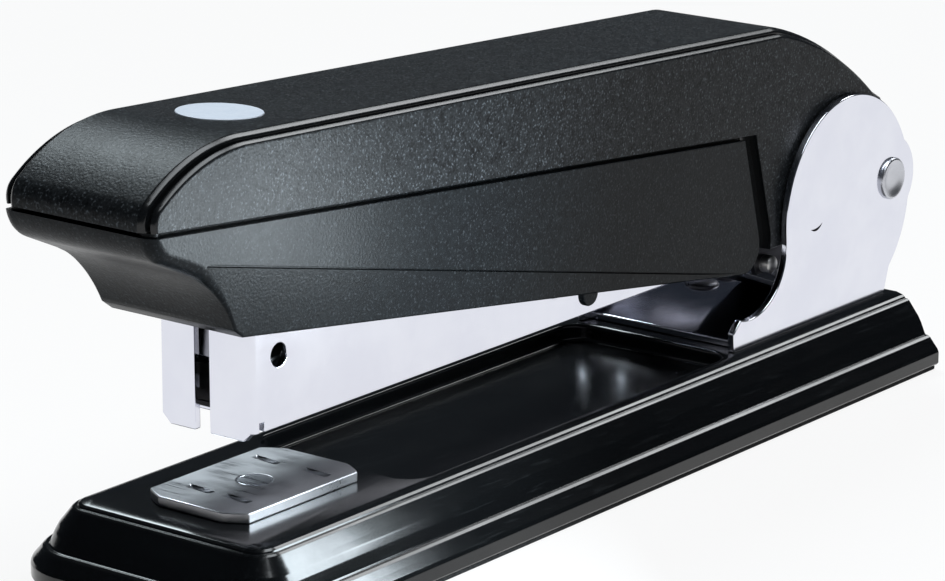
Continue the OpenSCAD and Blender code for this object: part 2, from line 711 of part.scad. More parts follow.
module top_cover() at_staple() color("#17181b") difference() {
    union() {
        wide(band_x) top_outline(0);
        both_sides(band_x - eps, band_x + groove_w + eps) top_outline(groove_d);
        both_sides(band_x + groove_w, cover_x) top_outline(rim_drop);
        both_sides(cover_in, cover_in + rabbet_t) rabbet_outline();
    }
    difference() {
        wide(cover_in) top_cavity();
        for (y = lever_screw_y) on_top(y) translate([0, 0, -lever_drop * cos(top_slope)])
            cylinder(r = boss_r, h = lever_drop);
    }
    slab(-cover_x - 1, cover_x + 1) translate(hinge) circle(pin_r + 0.4);
    for (y = lever_screw_y) on_top(y) translate([0, 0, -big - 1.4]) cylinder(r = screw_r + seat_gap, h = big);
    both_sides(cover_in - eps, cover_in + tongue_t + seat_gap) tongue_outline(seat_gap);
    on_top(badge_y) translate([0, 0, -badge_seat]) cylinder(r = badge_r + 0.05, h = 5);
}

// Tongue on the lower cover that snaps into a rebate inside the top cover, grown by d
module tongue_outline(d) polygon([
    for (y = [tongue_y[0] - d, tongue_y[1] + d]) [y, seam(y) - seam_gap / 2 - 1],
    for (y = [tongue_y[1] + d, tongue_y[0] - d]) [y, seam(y) + seam_gap / 2 + tongue_h + d]]);

module lower_outline() polygon(concat(lip(0), [[hem_y, hem(hem_y)]], panel_rear(0),
    [for (y = [panel_end, lip_c[0]]) [y, seam(y) - seam_gap / 2]]));

module lower_cavity() polygon(concat(lip(crown_t),
    [[0, -big], [big, -big], [big, big], [lip_c[0], big]]));

module lower_cover() at_staple() color("#131417") {
    difference() {
        union() {
            wide(hem_x) lower_outline();
            both_sides(hem_x - eps, cover_x) intersection() {
                lower_outline();
                polygon([[-big, panel(-big)], [big, panel(big)], [big, big], [-big, big]]);
            }
        }
        wide(cover_in) lower_cavity();
    }
    both_sides(cover_in, hem_x) translate([hem_lug_y, hem(hem_lug_y) + hem_lug_rise]) circle(hem_lug_r);
    both_sides(cover_in, cover_in + tongue_t) tongue_outline(0);
}

module badge_disc() at_staple() color("#cfd1d6") on_top(badge_y) translate([0, 0, -badge_seat])
    cylinder(r = badge_r, h = badge_t);

// Lever and driver
module lever_wall() difference() {
    union() {
        polygon([[lever_y, top_z(lever_y) - lever_drop], [top_end, top_z(top_end) - lever_drop], lever_rear,
            hinge + [0, lever_lobe_r], hinge - [0, lever_lobe_r], stud + [4, -1.6], stud + [-2, -1.6],
            stud + [-5, 5], [lever_y, 47]]);
        translate(hinge) circle(lever_lobe_r);
    }
    translate(hinge) circle(pin_r + run_gap);
    translate(stud) circle(stud_pin_r + seat_gap);
}

module lever_web() {
    bend_y = top_end - lever_bend_set;
    top = [[lever_y, top_z(lever_y) - lever_drop], [top_end, top_z(top_end) - lever_drop], lever_rear];
    under = [lever_rear - lever_t * web_normal,
        for (y = [bend_y, lever_y]) [y, top_z(y) - lever_drop - lever_t]];
    polygon(concat(top, under));
}

module lever_frame() at_staple() color("#3f3f43") difference() {
    union() {
        both_sides(lever_in, lever_x) lever_wall();
        wide(lever_in + eps) lever_web();
        on_blade() translate([-blade_w / 2, blade_t, tab_rise]) cube([blade_w, lever_t + 0.2, tab_l]);
    }
    at_driver_rivets() cylinder(r = driver_rivet_r + seat_gap, h = 20, center = true);
    for (y = lever_screw_y) on_top(y) cylinder(r = screw_r + 0.1, h = 30, center = true);
}

module lever_studs() at_staple() color("#eceef6") for (s = [0, 1]) mirror([s, 0, 0]) {
    cross_rod(stud, stud_pin_r, lever_in, lever_x + eps);
    cross_rod(stud, stud_r, lever_x, lever_x + stud_l);
}

module at_driver_rivets() on_blade() for (s = [-1, 1])
    translate([s * driver_rivet_x, 0, driver_rivet_h]) rotate([-90, 0, 0]) children();

module driver_blade() at_staple() color("#aeb0b8") difference() {
    on_blade() translate([-blade_w / 2, 0, 0]) cube([blade_w, blade_t, blade_l]);
    at_driver_rivets() cylinder(r = driver_rivet_r + seat_gap, h = 20, center = true);
}

module driver_rivets() at_staple() color("#8f9199") at_driver_rivets() {
    translate([0, 0, -driver_head_h]) cylinder(r = driver_head_r, h = driver_head_h);
    cylinder(r = driver_rivet_r, h = blade_t + lever_t + 0.2);
    translate([0, 0, blade_t + lever_t + 0.2]) cylinder(r = driver_head_r, h = driver_head_h);
}

module screw(l) {
    difference() {
        translate([0, 0, -screw_head_h]) cylinder(r = screw_head_r, h = screw_head_h);
        for (a = [0, 90]) rotate(a) translate([-1.6, -0.35, -screw_head_h - 1]) cube([3.2, 0.7, 1.8]);
    }
    translate([0, 0, -eps]) cylinder(r = screw_r, h = l);
}

module lever_screws() at_staple() color("#7d7f86") for (y = lever_screw_y)
    on_top(y) translate([0, 0, -(lever_drop + lever_t) * cos(top_slope) - seat_gap])
        screw(lever_drop + lever_t - screw_cover);

base_plate();
sole_pad();
hinge_bracket();
bracket_rivets();
hinge_pin();
lift_spring();
lift_spring_rivet();
anvil_plate();
anvil_stem();
anvil_spring();
magazine_channel();
core_rail();
rail_rivets();
guide_rod();
rod_block();
hinge_washers();
handle_spring();
pusher();
pusher_spring();
top_cover();
lower_cover();
badge_disc();
lever_frame();
lever_studs();
driver_blade();
driver_rivets();
lever_screws();
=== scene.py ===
import json
from math import asin, cos, degrees, pi, radians, sin, tan

import bmesh
import bpy
from mathutils import Matrix, Vector


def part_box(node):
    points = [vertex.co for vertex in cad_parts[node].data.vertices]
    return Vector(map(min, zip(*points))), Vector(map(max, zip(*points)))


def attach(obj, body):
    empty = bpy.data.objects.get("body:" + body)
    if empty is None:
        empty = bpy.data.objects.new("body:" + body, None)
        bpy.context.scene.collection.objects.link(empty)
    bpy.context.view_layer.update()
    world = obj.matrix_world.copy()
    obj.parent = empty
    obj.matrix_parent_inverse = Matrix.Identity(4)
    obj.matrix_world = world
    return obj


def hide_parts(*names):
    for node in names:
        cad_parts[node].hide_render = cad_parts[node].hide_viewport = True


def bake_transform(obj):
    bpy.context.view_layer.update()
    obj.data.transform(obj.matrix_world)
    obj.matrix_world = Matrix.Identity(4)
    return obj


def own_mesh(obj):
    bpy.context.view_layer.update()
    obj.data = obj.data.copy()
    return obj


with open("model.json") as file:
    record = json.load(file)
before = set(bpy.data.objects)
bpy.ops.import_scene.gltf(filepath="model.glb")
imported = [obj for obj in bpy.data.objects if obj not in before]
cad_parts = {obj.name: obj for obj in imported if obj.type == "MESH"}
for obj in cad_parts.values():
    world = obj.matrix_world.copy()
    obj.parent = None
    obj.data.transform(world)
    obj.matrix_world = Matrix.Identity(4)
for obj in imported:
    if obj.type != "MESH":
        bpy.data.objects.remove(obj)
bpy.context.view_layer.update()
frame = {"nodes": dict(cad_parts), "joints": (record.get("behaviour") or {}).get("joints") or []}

scene = bpy.context.scene
scene.view_settings.view_transform = "Standard"

# Lengths are in millimetres. Side views are (y, z) with y = 0 at the magazine's front face.
mm = 0.001
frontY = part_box("magazine_channel")[0].y / mm
joints = {joint["name"]: joint for joint in frame["joints"]}
hingePos = joints["handle_hinge"]["pos_m"]
hinge = Vector((hingePos[1] / mm - frontY, hingePos[2] / mm))


def inFrame(p):
    return Vector((p[0], p[1] + frontY, p[2])) * mm


def addObject(name, data):
    thing = bpy.data.objects.new(name, data)
    scene.collection.objects.link(thing)
    return thing


# Camera, at the photograph's angle
shot = {"azimuth": 37.92, "elevation": 15.75, "across": 36.1, "up": 40.92, "away": 557.46, "lens": 154.51,
        "sensor": 36}
az, el = radians(shot["azimuth"]), radians(shot["elevation"])
camRight = Vector((cos(az), sin(az), 0))
camBack = Vector((sin(az) * cos(el), -cos(az) * cos(el), sin(el)))
camUp = camBack.cross(camRight)
camAt = camRight * shot["across"] + camUp * shot["up"] + camBack * shot["away"] + Vector((0, frontY, 0))
camData = bpy.data.cameras.new("photoCamera")
camData.lens = shot["lens"]
camData.sensor_width = shot["sensor"]
camera = addObject("photoCamera", camData)
camTurn = Matrix((camRight, camUp, camBack)).transposed()
camera.matrix_world = Matrix.Translation(camAt * mm) @ camTurn.to_4x4()
scene.camera = camera
print("camera set")

# Outlines: closer points are one point, turns with a smaller sine count as straight, and an arc takes at most
# this share of the edges beside it
samePoint, straightTurn, edgeShare = 1e-4, 0.35, 0.48


def arc(centre, radius, start, end, steps=16):
    angles = [radians(start + (end - start) * i / steps) for i in range(steps + 1)]
    return [Vector(centre) + radius * Vector((cos(a), sin(a))) for a in angles]


def chain(*runs):
    points = []
    for run in runs:
        for p in run:
            if not points or (Vector(p) - points[-1]).length > samePoint:
                points.append(Vector(p))
    return points


def drawIn(loop, depths):
    # One vector per point of a closed outline; depths says how far each edge is drawn in
    area = sum(a.x * b.y - b.x * a.y for a, b in zip(loop, loop[1:] + loop[:1]))
    side = 1 if area > 0 else -1
    along = [(loop[(i + 1) % len(loop)] - p).normalized() for i, p in enumerate(loop)]
    normals = [Vector((-d.y, d.x)) * side for d in along]
    found = []
    for i in range(len(loop)):
        a, b, da, db = normals[i - 1], normals[i], depths[i - 1], depths[i]
        turn = a.x * b.y - a.y * b.x
        if abs(turn) < straightTurn:
            mid = (a + b).normalized()
            found.append(mid * (da + db) / 2 / mid.dot(a))
        else:
            found.append(Vector((da * b.y - db * a.y, db * a.x - da * b.x)) / turn)
    return found


def roundOff(points, radii, steps=4):
    # Open outline whose inner corners become arcs of the given radii
    out = [Vector(points[0])]
    for i in range(1, len(points) - 1):
        p = Vector(points[i])
        before, after = (Vector(points[i - 1]) - p), (Vector(points[i + 1]) - p)
        half = before.angle(after) / 2
        reach = min(radii[i] / tan(half), edgeShare * before.length, edgeShare * after.length)
        back, on = before.normalized(), after.normalized()
        centre = p + (back + on).normalized() * (reach * tan(half) / sin(half))
        a, b = p + back * reach - centre, p + on * reach - centre
        turn = a.angle_signed(b)
        for k in range(steps + 1):
            c, s = cos(-turn * k / steps), sin(-turn * k / steps)
            out.append(centre + Vector((c * a.x - s * a.y, s * a.x + c * a.y)))
    out.append(Vector(points[-1]))
    return out


def fromAngle(angle):
    return Vector((cos(radians(angle)), sin(radians(angle))))


def quarterTurns(steps):
    return [pi / 2 * k / steps for k in range(steps + 1)]


# Meshes: points of a new mesh and of a CAD copy closer than this are welded, shorter edges go (metres), faces
# that differ by less are joined (degrees), and large faces count this much in the normals
weld, cadWeld, leastEdge = 2e-6, 3e-6, 1e-6
flatCut, flatCad, flatWeight = 0.5, 0.6, 80


def newPiece(name, points, faces, edges=()):
    # The points are in the outline's own millimetres and are placed in the frame here
    mesh = bpy.data.meshes.new(name)
    mesh.from_pydata([inFrame(p) for p in points], edges, faces)
    return addObject(name, mesh)


def openMesh(*meshes):
    bm = bmesh.new()
    for mesh in meshes:
        bm.from_mesh(mesh)
    return bm


def storeMesh(bm, mesh):
    bm.to_mesh(mesh)
    bm.free()


def bake(piece):
    bpy.context.view_layer.update()
    evaluated = piece.evaluated_get(bpy.context.evaluated_depsgraph_get())
    mesh = bpy.data.meshes.new_from_object(evaluated)
    piece.modifiers.clear()
    old, piece.data = piece.data, mesh
    bpy.data.meshes.remove(old)
    mesh.name = piece.name


def drop(piece):
    mesh = piece.data
    bpy.data.objects.remove(piece)
    bpy.data.meshes.remove(mesh)


def tidyMesh(piece):
    bm = openMesh(piece.data)
    bmesh.ops.remove_doubles(bm, verts=bm.verts, dist=weld)
    bmesh.ops.dissolve_degenerate(bm, edges=bm.edges, dist=leastEdge)
    bmesh.ops.recalc_face_normals(bm, faces=bm.faces)
    storeMesh(bm, piece.data)


def shade(piece, limit=34):
    # Smooth faces, sharp edges above the limit, and normals that follow the large flat faces
    bm = openMesh(piece.data)
    for f in bm.faces:
        f.smooth = True
    for e in bm.edges:
        e.smooth = len(e.link_faces) == 2 and e.calc_face_angle() < radians(limit)
    storeMesh(bm, piece.data)
    normals = piece.modifiers.new("flatNormals", "WEIGHTED_NORMAL")
    normals.keep_sharp = True
    normals.weight = flatWeight
    bake(piece)


def softenEdges(piece, width, steps, above):
    bevel = piece.modifiers.new("softEdges", "BEVEL")
    bevel.width = width * mm
    bevel.segments = steps
    bevel.limit_method = "ANGLE"
    bevel.angle_limit = radians(above)
    bake(piece)


def carve(piece, *cutters):
    # Cuts each cutter out of the piece, then joins the flat faces that the cuts have split
    for cutter in cutters:
        cut = piece.modifiers.new("cut", "BOOLEAN")
        cut.operation = "DIFFERENCE"
        cut.solver = "MANIFOLD"
        cut.object = cutter
        bake(piece)
        drop(cutter)
    bm = openMesh(piece.data)
    bmesh.ops.remove_doubles(bm, verts=bm.verts, dist=weld)
    bmesh.ops.dissolve_limit(bm, angle_limit=radians(flatCut), verts=bm.verts, edges=bm.edges)
    storeMesh(bm, piece.data)


def join(piece, *others):
    storeMesh(openMesh(piece.data, *(o.data for o in others)), piece.data)
    for o in others:
        drop(o)


def ringFaces(count, n):
    # Quads between neighbouring rings of n points each
    return [[c * n + i, c * n + (i + 1) % n, (c + 1) * n + (i + 1) % n, (c + 1) * n + i]
            for c in range(count - 1) for i in range(n)]


def slabPiece(name, outline, x0, x1):
    # Side-view outline pushed straight from x0 to x1
    n = len(outline)
    points = [(x, p[0], p[1]) for x in (x0, x1) for p in outline]
    piece = newPiece(name, points, [list(range(n))[::-1], list(range(n, 2 * n))] + ringFaces(2, n))
    tidyMesh(piece)
    return piece


def bothSides(name, outline, x0, x1):
    # The same slab on the right and on the left
    return [slabPiece(name, outline, *sorted((s * x0, s * x1))) for s in (1, -1)]


def turnedPiece(name, profile, steps=48):
    # Profile of (radius, height) turned round the origin's Z axis, closed at both ends
    points = []
    for r, z in profile:
        points += [(r * cos(2 * pi * k / steps), r * sin(2 * pi * k / steps) - frontY, z)
                   for k in range(steps)]
    ends = [list(range(steps))[::-1], [(len(profile) - 1) * steps + k for k in range(steps)]]
    piece = newPiece(name, points, ringFaces(len(profile), steps) + ends)
    tidyMesh(piece)
    return piece


def place(piece, at, turn):
    # Moves a turned piece so that its origin lies at (x, y, z) of the outline's millimetres
    piece.data.transform(Matrix.Translation(inFrame(at)) @ turn.to_4x4())


def tipped(slope):
    return Matrix.Rotation(-radians(slope), 3, "X")


def sideways(sign):
    return Matrix.Rotation(sign * pi / 2, 3, "Y")


def bevelledCopy(node, name, width, ownWidth=None, steps=3, sharpAbove=40):
    # Copy of a CAD node with its sharp edges rounded; ownWidth gives an edge a radius of its own
    mesh = bpy.data.meshes.new(name)
    bm = openMesh(frame["nodes"][node].data)
    bmesh.ops.remove_doubles(bm, verts=bm.verts, dist=cadWeld)
    bmesh.ops.dissolve_limit(bm, angle_limit=radians(flatCad), verts=bm.verts, edges=bm.edges)
    while True:
        groups = {}
        for e in bm.edges:
            if len(e.link_faces) == 2 and e.calc_face_angle() > radians(sharpAbove):
                own = ownWidth(e) if ownWidth else None
                groups.setdefault(width if own is None else own, []).append(e)
        radius = max(groups)
        if radius > 0:
            bmesh.ops.bevel(bm, geom=groups[radius], offset=radius * mm, offset_type="OFFSET", segments=steps,
                            profile=0.5, affect="EDGES", clamp_overlap=False, loop_slide=True)
        if radius <= width:
            break
    bmesh.ops.dissolve_degenerate(bm, edges=bm.edges, dist=leastEdge)
    storeMesh(bm, mesh)
    if "custom_normal" in mesh.attributes:
        mesh.attributes.remove(mesh.attributes["custom_normal"])
    piece = addObject(name, mesh)
    shade(piece)
    return piece


def finishPiece(piece, body, slot, *nodes, finish=None):
    piece.data.materials.clear()
    piece.data.materials.append(finishes[finish or slot])
    if body:
        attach(piece, body)
    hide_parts(*nodes)


# Shader nodes, and node groups shared by the finishes
def addNode(tree, kind, values=None, **settings):
    node = tree.nodes.new(kind)
    for key, value in settings.items():
        setattr(node, key, value)
    for key, value in (values or {}).items():
        if isinstance(value, bpy.types.NodeSocket):
            tree.links.new(value, node.inputs[key])
        else:
            node.inputs[key].default_value = value
    return node


def noise(tree, where, scale, detail, roughness=0.5):
    values = {"Vector": where, "Scale": scale, "Detail": detail, "Roughness": roughness}
    return addNode(tree, "ShaderNodeTexNoise", values).outputs["Fac"]


def remap(tree, value, low, high, toLow=0.0, toHigh=1.0, **settings):
    values = {"Value": value, "From Min": low, "From Max": high, "To Min": toLow, "To Max": toHigh}
    return addNode(tree, "ShaderNodeMapRange", values, **settings).outputs["Result"]


def combine(tree, operation, first, second, **settings):
    return addNode(tree, "ShaderNodeMath", {0: first, 1: second}, operation=operation, **settings).outputs[0]


def mixColour(tree, factor, first, second):
    values = {0: factor}
    for key, tone in ((6, first), (7, second)):
        values[key] = tone if isinstance(tone, bpy.types.NodeSocket) else (*tone, 1)
    return addNode(tree, "ShaderNodeMix", values, data_type="RGBA").outputs[2]


def newTree(name, kind, inputs, outputs):
    # Empty node tree whose sockets are given by label and type
    tree = bpy.data.node_groups.new(name, kind)
    for side, sockets in (("INPUT", inputs), ("OUTPUT", outputs)):
        for label, socket in sockets.items():
            tree.interface.new_socket(name=label, in_out=side, socket_type="NodeSocket" + socket)
    return tree, tree.nodes.new("NodeGroupInput").outputs


def mouldGrainGroup():
    # Fine pebbled grain of a moulded cover, painted glints as sparse bright points of colour on its tops, and
    # a slower change of tone
    group, given = newTree("mouldGrain", "ShaderNodeTree", {"Vector": "Vector", "Scale": "Float"},
                           {"Height": "Float", "Tone": "Float", "Glint": "Float"})
    where, scale = given["Vector"], given["Scale"]
    pebble = addNode(group, "ShaderNodeTexVoronoi", {"Vector": where, "Scale": scale}, feature="SMOOTH_F1")
    fleck = noise(group, where, scale, detail=3.0, roughness=0.62)
    cloudShare = 0.28
    cloud = noise(group, where, combine(group, "MULTIPLY", scale, cloudShare), detail=4.0, roughness=0.7)
    addNode(group, "NodeGroupOutput", {
        "Height": combine(group, "SUBTRACT", fleck, pebble.outputs["Distance"]),
        "Tone": remap(group, combine(group, "ADD", cloud, fleck), low=0.74, high=1.3),
        # Glint marks the painted glint points, which stand in for sparkle of light on the grain
        "Glint": remap(group, noise(group, where, scale, detail=1.0), low=0.60, high=0.76)})
    return group


def handlingGroup():
    # Faint smudges and hairline rubs left by hands and paper
    group, given = newTree("handlingMarks", "ShaderNodeTree", {"Vector": "Vector", "Size": "Float"},
                           {"Smudge": "Float", "Rub": "Float"})
    where, size = given["Vector"], given["Size"]
    smudge = noise(group, where, size, detail=5.0, roughness=0.6)
    stretch = addNode(group, "ShaderNodeMapping", {"Vector": where, "Scale": (38.0, 2.2, 30.0),
                      "Rotation": (0.2, 0.1, 0.15)})
    rub = noise(group, stretch.outputs["Vector"], size, detail=2.0)
    addNode(group, "NodeGroupOutput", {
        "Smudge": remap(group, smudge, low=0.32, high=0.72, interpolation_type="SMOOTHSTEP"),
        "Rub": remap(group, rub, low=0.6, high=0.72)})
    return group


def brushGroup():
    # Drawn lines of rolled, turned or plated metal, along the axis whose stretch value is smallest
    group, given = newTree("brushLines", "ShaderNodeTree",
                           {"Vector": "Vector", "Stretch": "Vector", "Scale": "Float"},
                           {"Line": "Float", "Height": "Float"})
    drawn = addNode(group, "ShaderNodeMapping", {"Vector": given["Vector"], "Scale": given["Stretch"]})
    lines = noise(group, drawn.outputs["Vector"], given["Scale"], detail=3.0, roughness=0.55)
    addNode(group, "NodeGroupOutput", {"Line": remap(group, lines, low=0.3, high=0.7), "Height": lines})
    return group


mouldGrain = mouldGrainGroup()
handlingMarks = handlingGroup()
brushLines = brushGroup()


def newFinish(name, **constants):
    material = bpy.data.materials.new(name)
    material.use_nodes = True
    tree = material.node_tree
    surface = tree.nodes["Principled BSDF"]
    for key, value in constants.items():
        surface.inputs[key].default_value = value
    return material, tree, surface


def objectPlace(tree):
    return tree.nodes.new("ShaderNodeTexCoord").outputs["Object"]


def useGroup(tree, group, **values):
    return addNode(tree, "ShaderNodeGroup", values, node_tree=group).outputs


def spread(tree, value, low, high, socket):
    tree.links.new(remap(tree, value, 0.0, 1.0, low, high), socket)


def raiseBump(tree, surface, height, strength, depth):
    bump = addNode(tree, "ShaderNodeBump", {"Height": height, "Strength": strength, "Distance": depth * mm})
    tree.links.new(bump.outputs["Normal"], surface.inputs["Normal"])
    return bump


# Strength of the bumps, and scale of the marks
bumpStrength = {"plastic": 0.55, "polished": 0.02, "metal": 0.35, "lacquer": 0.12}
markScale = {"plastic": 70.0, "metal": 90.0, "lacquer": 55.0}


def polishEdges(tree, where, surface, bump, polish):
    # Smooths roughness, grain and tone between two distances from the middle plane, as on rubbed edges
    apart = addNode(tree, "ShaderNodeSeparateXYZ", {0: where})
    side = addNode(tree, "ShaderNodeMath", {0: apart.outputs["X"]}, operation="ABSOLUTE").outputs[0]
    (nearLow, nearHigh), (farLow, farHigh) = polish["near"], polish["far"]
    rise = remap(tree, side, nearLow * mm, nearHigh * mm)
    fall = remap(tree, side, farLow * mm, farHigh * mm, 1.0, 0.0)
    mask = combine(tree, "MULTIPLY", rise, fall)
    rough, colour = surface.inputs["Roughness"], surface.inputs["Base Color"]
    mix = addNode(tree, "ShaderNodeMix", {0: mask, 2: rough.links[0].from_socket, 3: polish["rough"]},
                  data_type="FLOAT")
    tree.links.new(mix.outputs[0], rough)
    spread(tree, mask, bumpStrength["plastic"], bumpStrength["polished"], bump.inputs["Strength"])
    tree.links.new(mixColour(tree, mask, colour.links[0].from_socket, polish["tone"]), colour)
    level = surface.inputs["Specular IOR Level"]
    spread(tree, mask, level.default_value, polish["shine"], level)


def plasticFinish(name, dark, light, rough, grain, depth, shine=0.5, glint=None, polish=None):
    material, tree, surface = newFinish(name, **{"Specular IOR Level": shine})
    where = objectPlace(tree)
    pebbles = useGroup(tree, mouldGrain, Vector=where, Scale=grain)
    marks = useGroup(tree, handlingMarks, Vector=where, Size=markScale["plastic"])
    tone = mixColour(tree, pebbles["Tone"], dark, light)
    # Painted glints: sparse points of lighter base colour stand in for the sparkle of light off the grain
    if glint:
        tone = mixColour(tree, pebbles["Glint"], tone, glint)
    tree.links.new(tone, surface.inputs["Base Color"])
    both = combine(tree, "MULTIPLY", pebbles["Tone"], marks["Smudge"])
    spread(tree, both, rough[1], rough[0], surface.inputs["Roughness"])
    bump = raiseBump(tree, surface, pebbles["Height"], bumpStrength["plastic"], depth)
    if polish:
        polishEdges(tree, where, surface, bump, polish)
    return material


# Metal: stretch of the drawn lines along one axis, round a turned pin, or none, and their depth
alongX, alongY, alongZ = (0.04, 1.0, 1.0), (1.0, 0.04, 1.0), (1.0, 1.0, 0.04)
turned, unlined = (0.05, 1.0, 1.0), (1.0, 1.0, 1.0)
lineDepth = 0.004


def metalFinish(name, dark, light, rough, lines=alongY, scale=3000.0):
    material, tree, surface = newFinish(name, Metallic=1.0)
    where = objectPlace(tree)
    drawn = useGroup(tree, brushLines, Vector=where, Stretch=lines, Scale=scale)
    marks = useGroup(tree, handlingMarks, Vector=where, Size=markScale["metal"])
    tree.links.new(mixColour(tree, marks["Smudge"], dark, light), surface.inputs["Base Color"])
    both = combine(tree, "ADD", drawn["Line"], marks["Smudge"])
    spread(tree, both, *rough, surface.inputs["Roughness"])
    raiseBump(tree, surface, drawn["Height"], bumpStrength["metal"], lineDepth)
    return material


# Sprayed and baked lacquer: a slight orange peel, rubbed paler where paper slides
lacquer = {"dark": (0.0035, 0.004, 0.0045), "rubbed": (0.010, 0.011, 0.012), "rough": (0.15, 0.22),
           "shine": 0.35, "coat": (0.25, 0.1), "coatRough": 0.12, "peel": 900.0, "peelDepth": 0.02}


def lacquerFinish(name):
    size = lacquer
    material, tree, surface = newFinish(name, **{"Specular IOR Level": size["shine"],
                                                 "Coat Roughness": size["coatRough"]})
    where = objectPlace(tree)
    marks = useGroup(tree, handlingMarks, Vector=where, Size=markScale["lacquer"])
    tree.links.new(mixColour(tree, marks["Rub"], size["dark"], size["rubbed"]), surface.inputs["Base Color"])
    spread(tree, marks["Smudge"], *size["rough"], surface.inputs["Roughness"])
    spread(tree, marks["Smudge"], *size["coat"], surface.inputs["Coat Weight"])
    peel = noise(tree, where, size["peel"], detail=2.0)
    raiseBump(tree, surface, peel, bumpStrength["lacquer"], size["peelDepth"])
    return material


# The covers' edges are rubbed between these distances from the middle plane, each with a short fade
coverEdges = {"near": (10.92, 11.08), "far": (13.26, 13.32), "rough": 0.22, "shine": 0.4,
              "tone": (0.007, 0.0076, 0.0084)}
finishes = {
    # The glint colours below are painted glints: lighter specks that stand in for sparkle of light on the
    # grain
    "grained_black": plasticFinish(
        "grainedCover", (0.003, 0.0034, 0.004), (0.026, 0.0285, 0.031), (0.28, 0.38), 2600.0, 0.06,
        shine=0.1, glint=(0.085, 0.093, 0.102), polish=coverEdges),
    "satin_black": plasticFinish(
        "satinPanel", (0.0035, 0.0045, 0.0055), (0.010, 0.0125, 0.0145), (0.27, 0.36), 2600.0, 0.04,
        shine=0.1, glint=(0.032, 0.036, 0.04)),
    "black_lacquer": lacquerFinish("bakedLacquer"),
    "sole_rubber": plasticFinish(
        "soleRubber", (0.012, 0.012, 0.012), (0.03, 0.03, 0.031), (0.7, 0.9), 1500.0, 0.06, shine=0.3),
    "nickel": metalFinish("brightNickel", (0.74, 0.75, 0.83), (0.79, 0.80, 0.87), (0.07, 0.13)),
    "stud_nickel": metalFinish(
        "satinStud", (0.76, 0.75, 0.74), (0.82, 0.81, 0.79), (0.4, 0.5), unlined, 1800.0),
    "rivet_steel": metalFinish(
        "rivetSteel", (0.5, 0.5, 0.53), (0.66, 0.66, 0.7), (0.22, 0.4), unlined, 1800.0),
    "pin_steel": metalFinish("turnedSteel", (0.5, 0.51, 0.55), (0.64, 0.65, 0.69), (0.18, 0.34), turned),
    "blued_steel": metalFinish("bluedLeaf", (0.05, 0.056, 0.072), (0.09, 0.1, 0.125), (0.28, 0.42)),
    "anvil_steel": metalFinish("groundAnvil", (0.5, 0.5, 0.52), (0.64, 0.64, 0.66), (0.24, 0.4), alongX),
    "spring_steel": metalFinish(
        "springWire", (0.42, 0.42, 0.45), (0.56, 0.56, 0.6), (0.2, 0.36), unlined, 2200.0),
    # Painted shade: the rail and its block get near-black steel, darker than plain steel, standing in for the
    # shade inside the magazine's slot
    "rail_steel": metalFinish("blackRail", (0.036, 0.034, 0.031), (0.064, 0.06, 0.056), (0.3, 0.46)),
    "lever_steel": metalFinish("blackLever", (0.045, 0.045, 0.049), (0.075, 0.075, 0.081), (0.3, 0.46)),
    "blade_steel": metalFinish("hardBlade", (0.3, 0.3, 0.32), (0.44, 0.44, 0.46), (0.2, 0.36), alongZ),
    "screw_steel": metalFinish(
        "zincScrew", (0.3, 0.3, 0.32), (0.42, 0.42, 0.44), (0.26, 0.42), unlined, 1800.0),
    "washer_nylon": plasticFinish(
        "nylonWasher", (0.62, 0.58, 0.47), (0.75, 0.71, 0.6), (0.4, 0.55), 1500.0, 0.01),
    "pusher_plastic": plasticFinish(
        "pusherPlastic", (0.03, 0.03, 0.033), (0.06, 0.06, 0.065), (0.34, 0.5), 1800.0, 0.02),
    "badge_grey": plasticFinish(
        "badgeDisc", (0.68, 0.73, 0.82), (0.77, 0.81, 0.89), (0.3, 0.42), 1600.0, 0.008),
}
print("finishes made:", len(finishes))


# Geometry Nodes: a wire swept along a path, and one fastener set on many points
def shapeTree(name, sizes):
    inputs = {"Geometry": "Geometry", **sizes, "Finish": "Material"}
    return newTree(name, "GeometryNodeTree", inputs, {"Geometry": "Geometry"})


def closeTree(tree, given, shape):
    solid = addNode(tree, "GeometryNodeRealizeInstances", {"Geometry": shape})
    finish = addNode(tree, "GeometryNodeSetMaterial", {"Geometry": solid.outputs["Geometry"],
                     "Material": given["Finish"]})
    addNode(tree, "NodeGroupOutput", {"Geometry": finish.outputs["Geometry"]})
    return tree


def wireTree():
    tree, given = shapeTree("sweptWire", {"Wire Radius": "Float", "Sides": "Int"})
    path = addNode(tree, "GeometryNodeMeshToCurve", {"Mesh": given["Geometry"]})
    ring = addNode(tree, "GeometryNodeCurvePrimitiveCircle", {"Resolution": given["Sides"],
                   "Radius": given["Wire Radius"]})
    swept = addNode(tree, "GeometryNodeCurveToMesh", {"Curve": path.outputs["Curve"],
                    "Profile Curve": ring.outputs["Curve"], "Fill Caps": True})
    return closeTree(tree, given, swept.outputs["Mesh"])


def fastenerTree():
    tree, given = shapeTree("fastenerSet", {"Fastener": "Object"})
    item = addNode(tree, "GeometryNodeObjectInfo", {"Object": given["Fastener"], "As Instance": True})
    placed = addNode(tree, "GeometryNodeInstanceOnPoints", {"Points": given["Geometry"],
                     "Instance": item.outputs["Geometry"]})
    return closeTree(tree, given, placed.outputs["Instances"])


sweptWire = wireTree()
fastenerSet = fastenerTree()


def runTree(piece, tree, values):
    modifier = piece.modifiers.new("build", "NODES")
    modifier.node_group = tree
    for item in tree.interface.items_tree:
        if item.item_type == "SOCKET" and item.in_out == "INPUT" and item.name in values:
            modifier[item.identifier] = values[item.name]
    bake(piece)


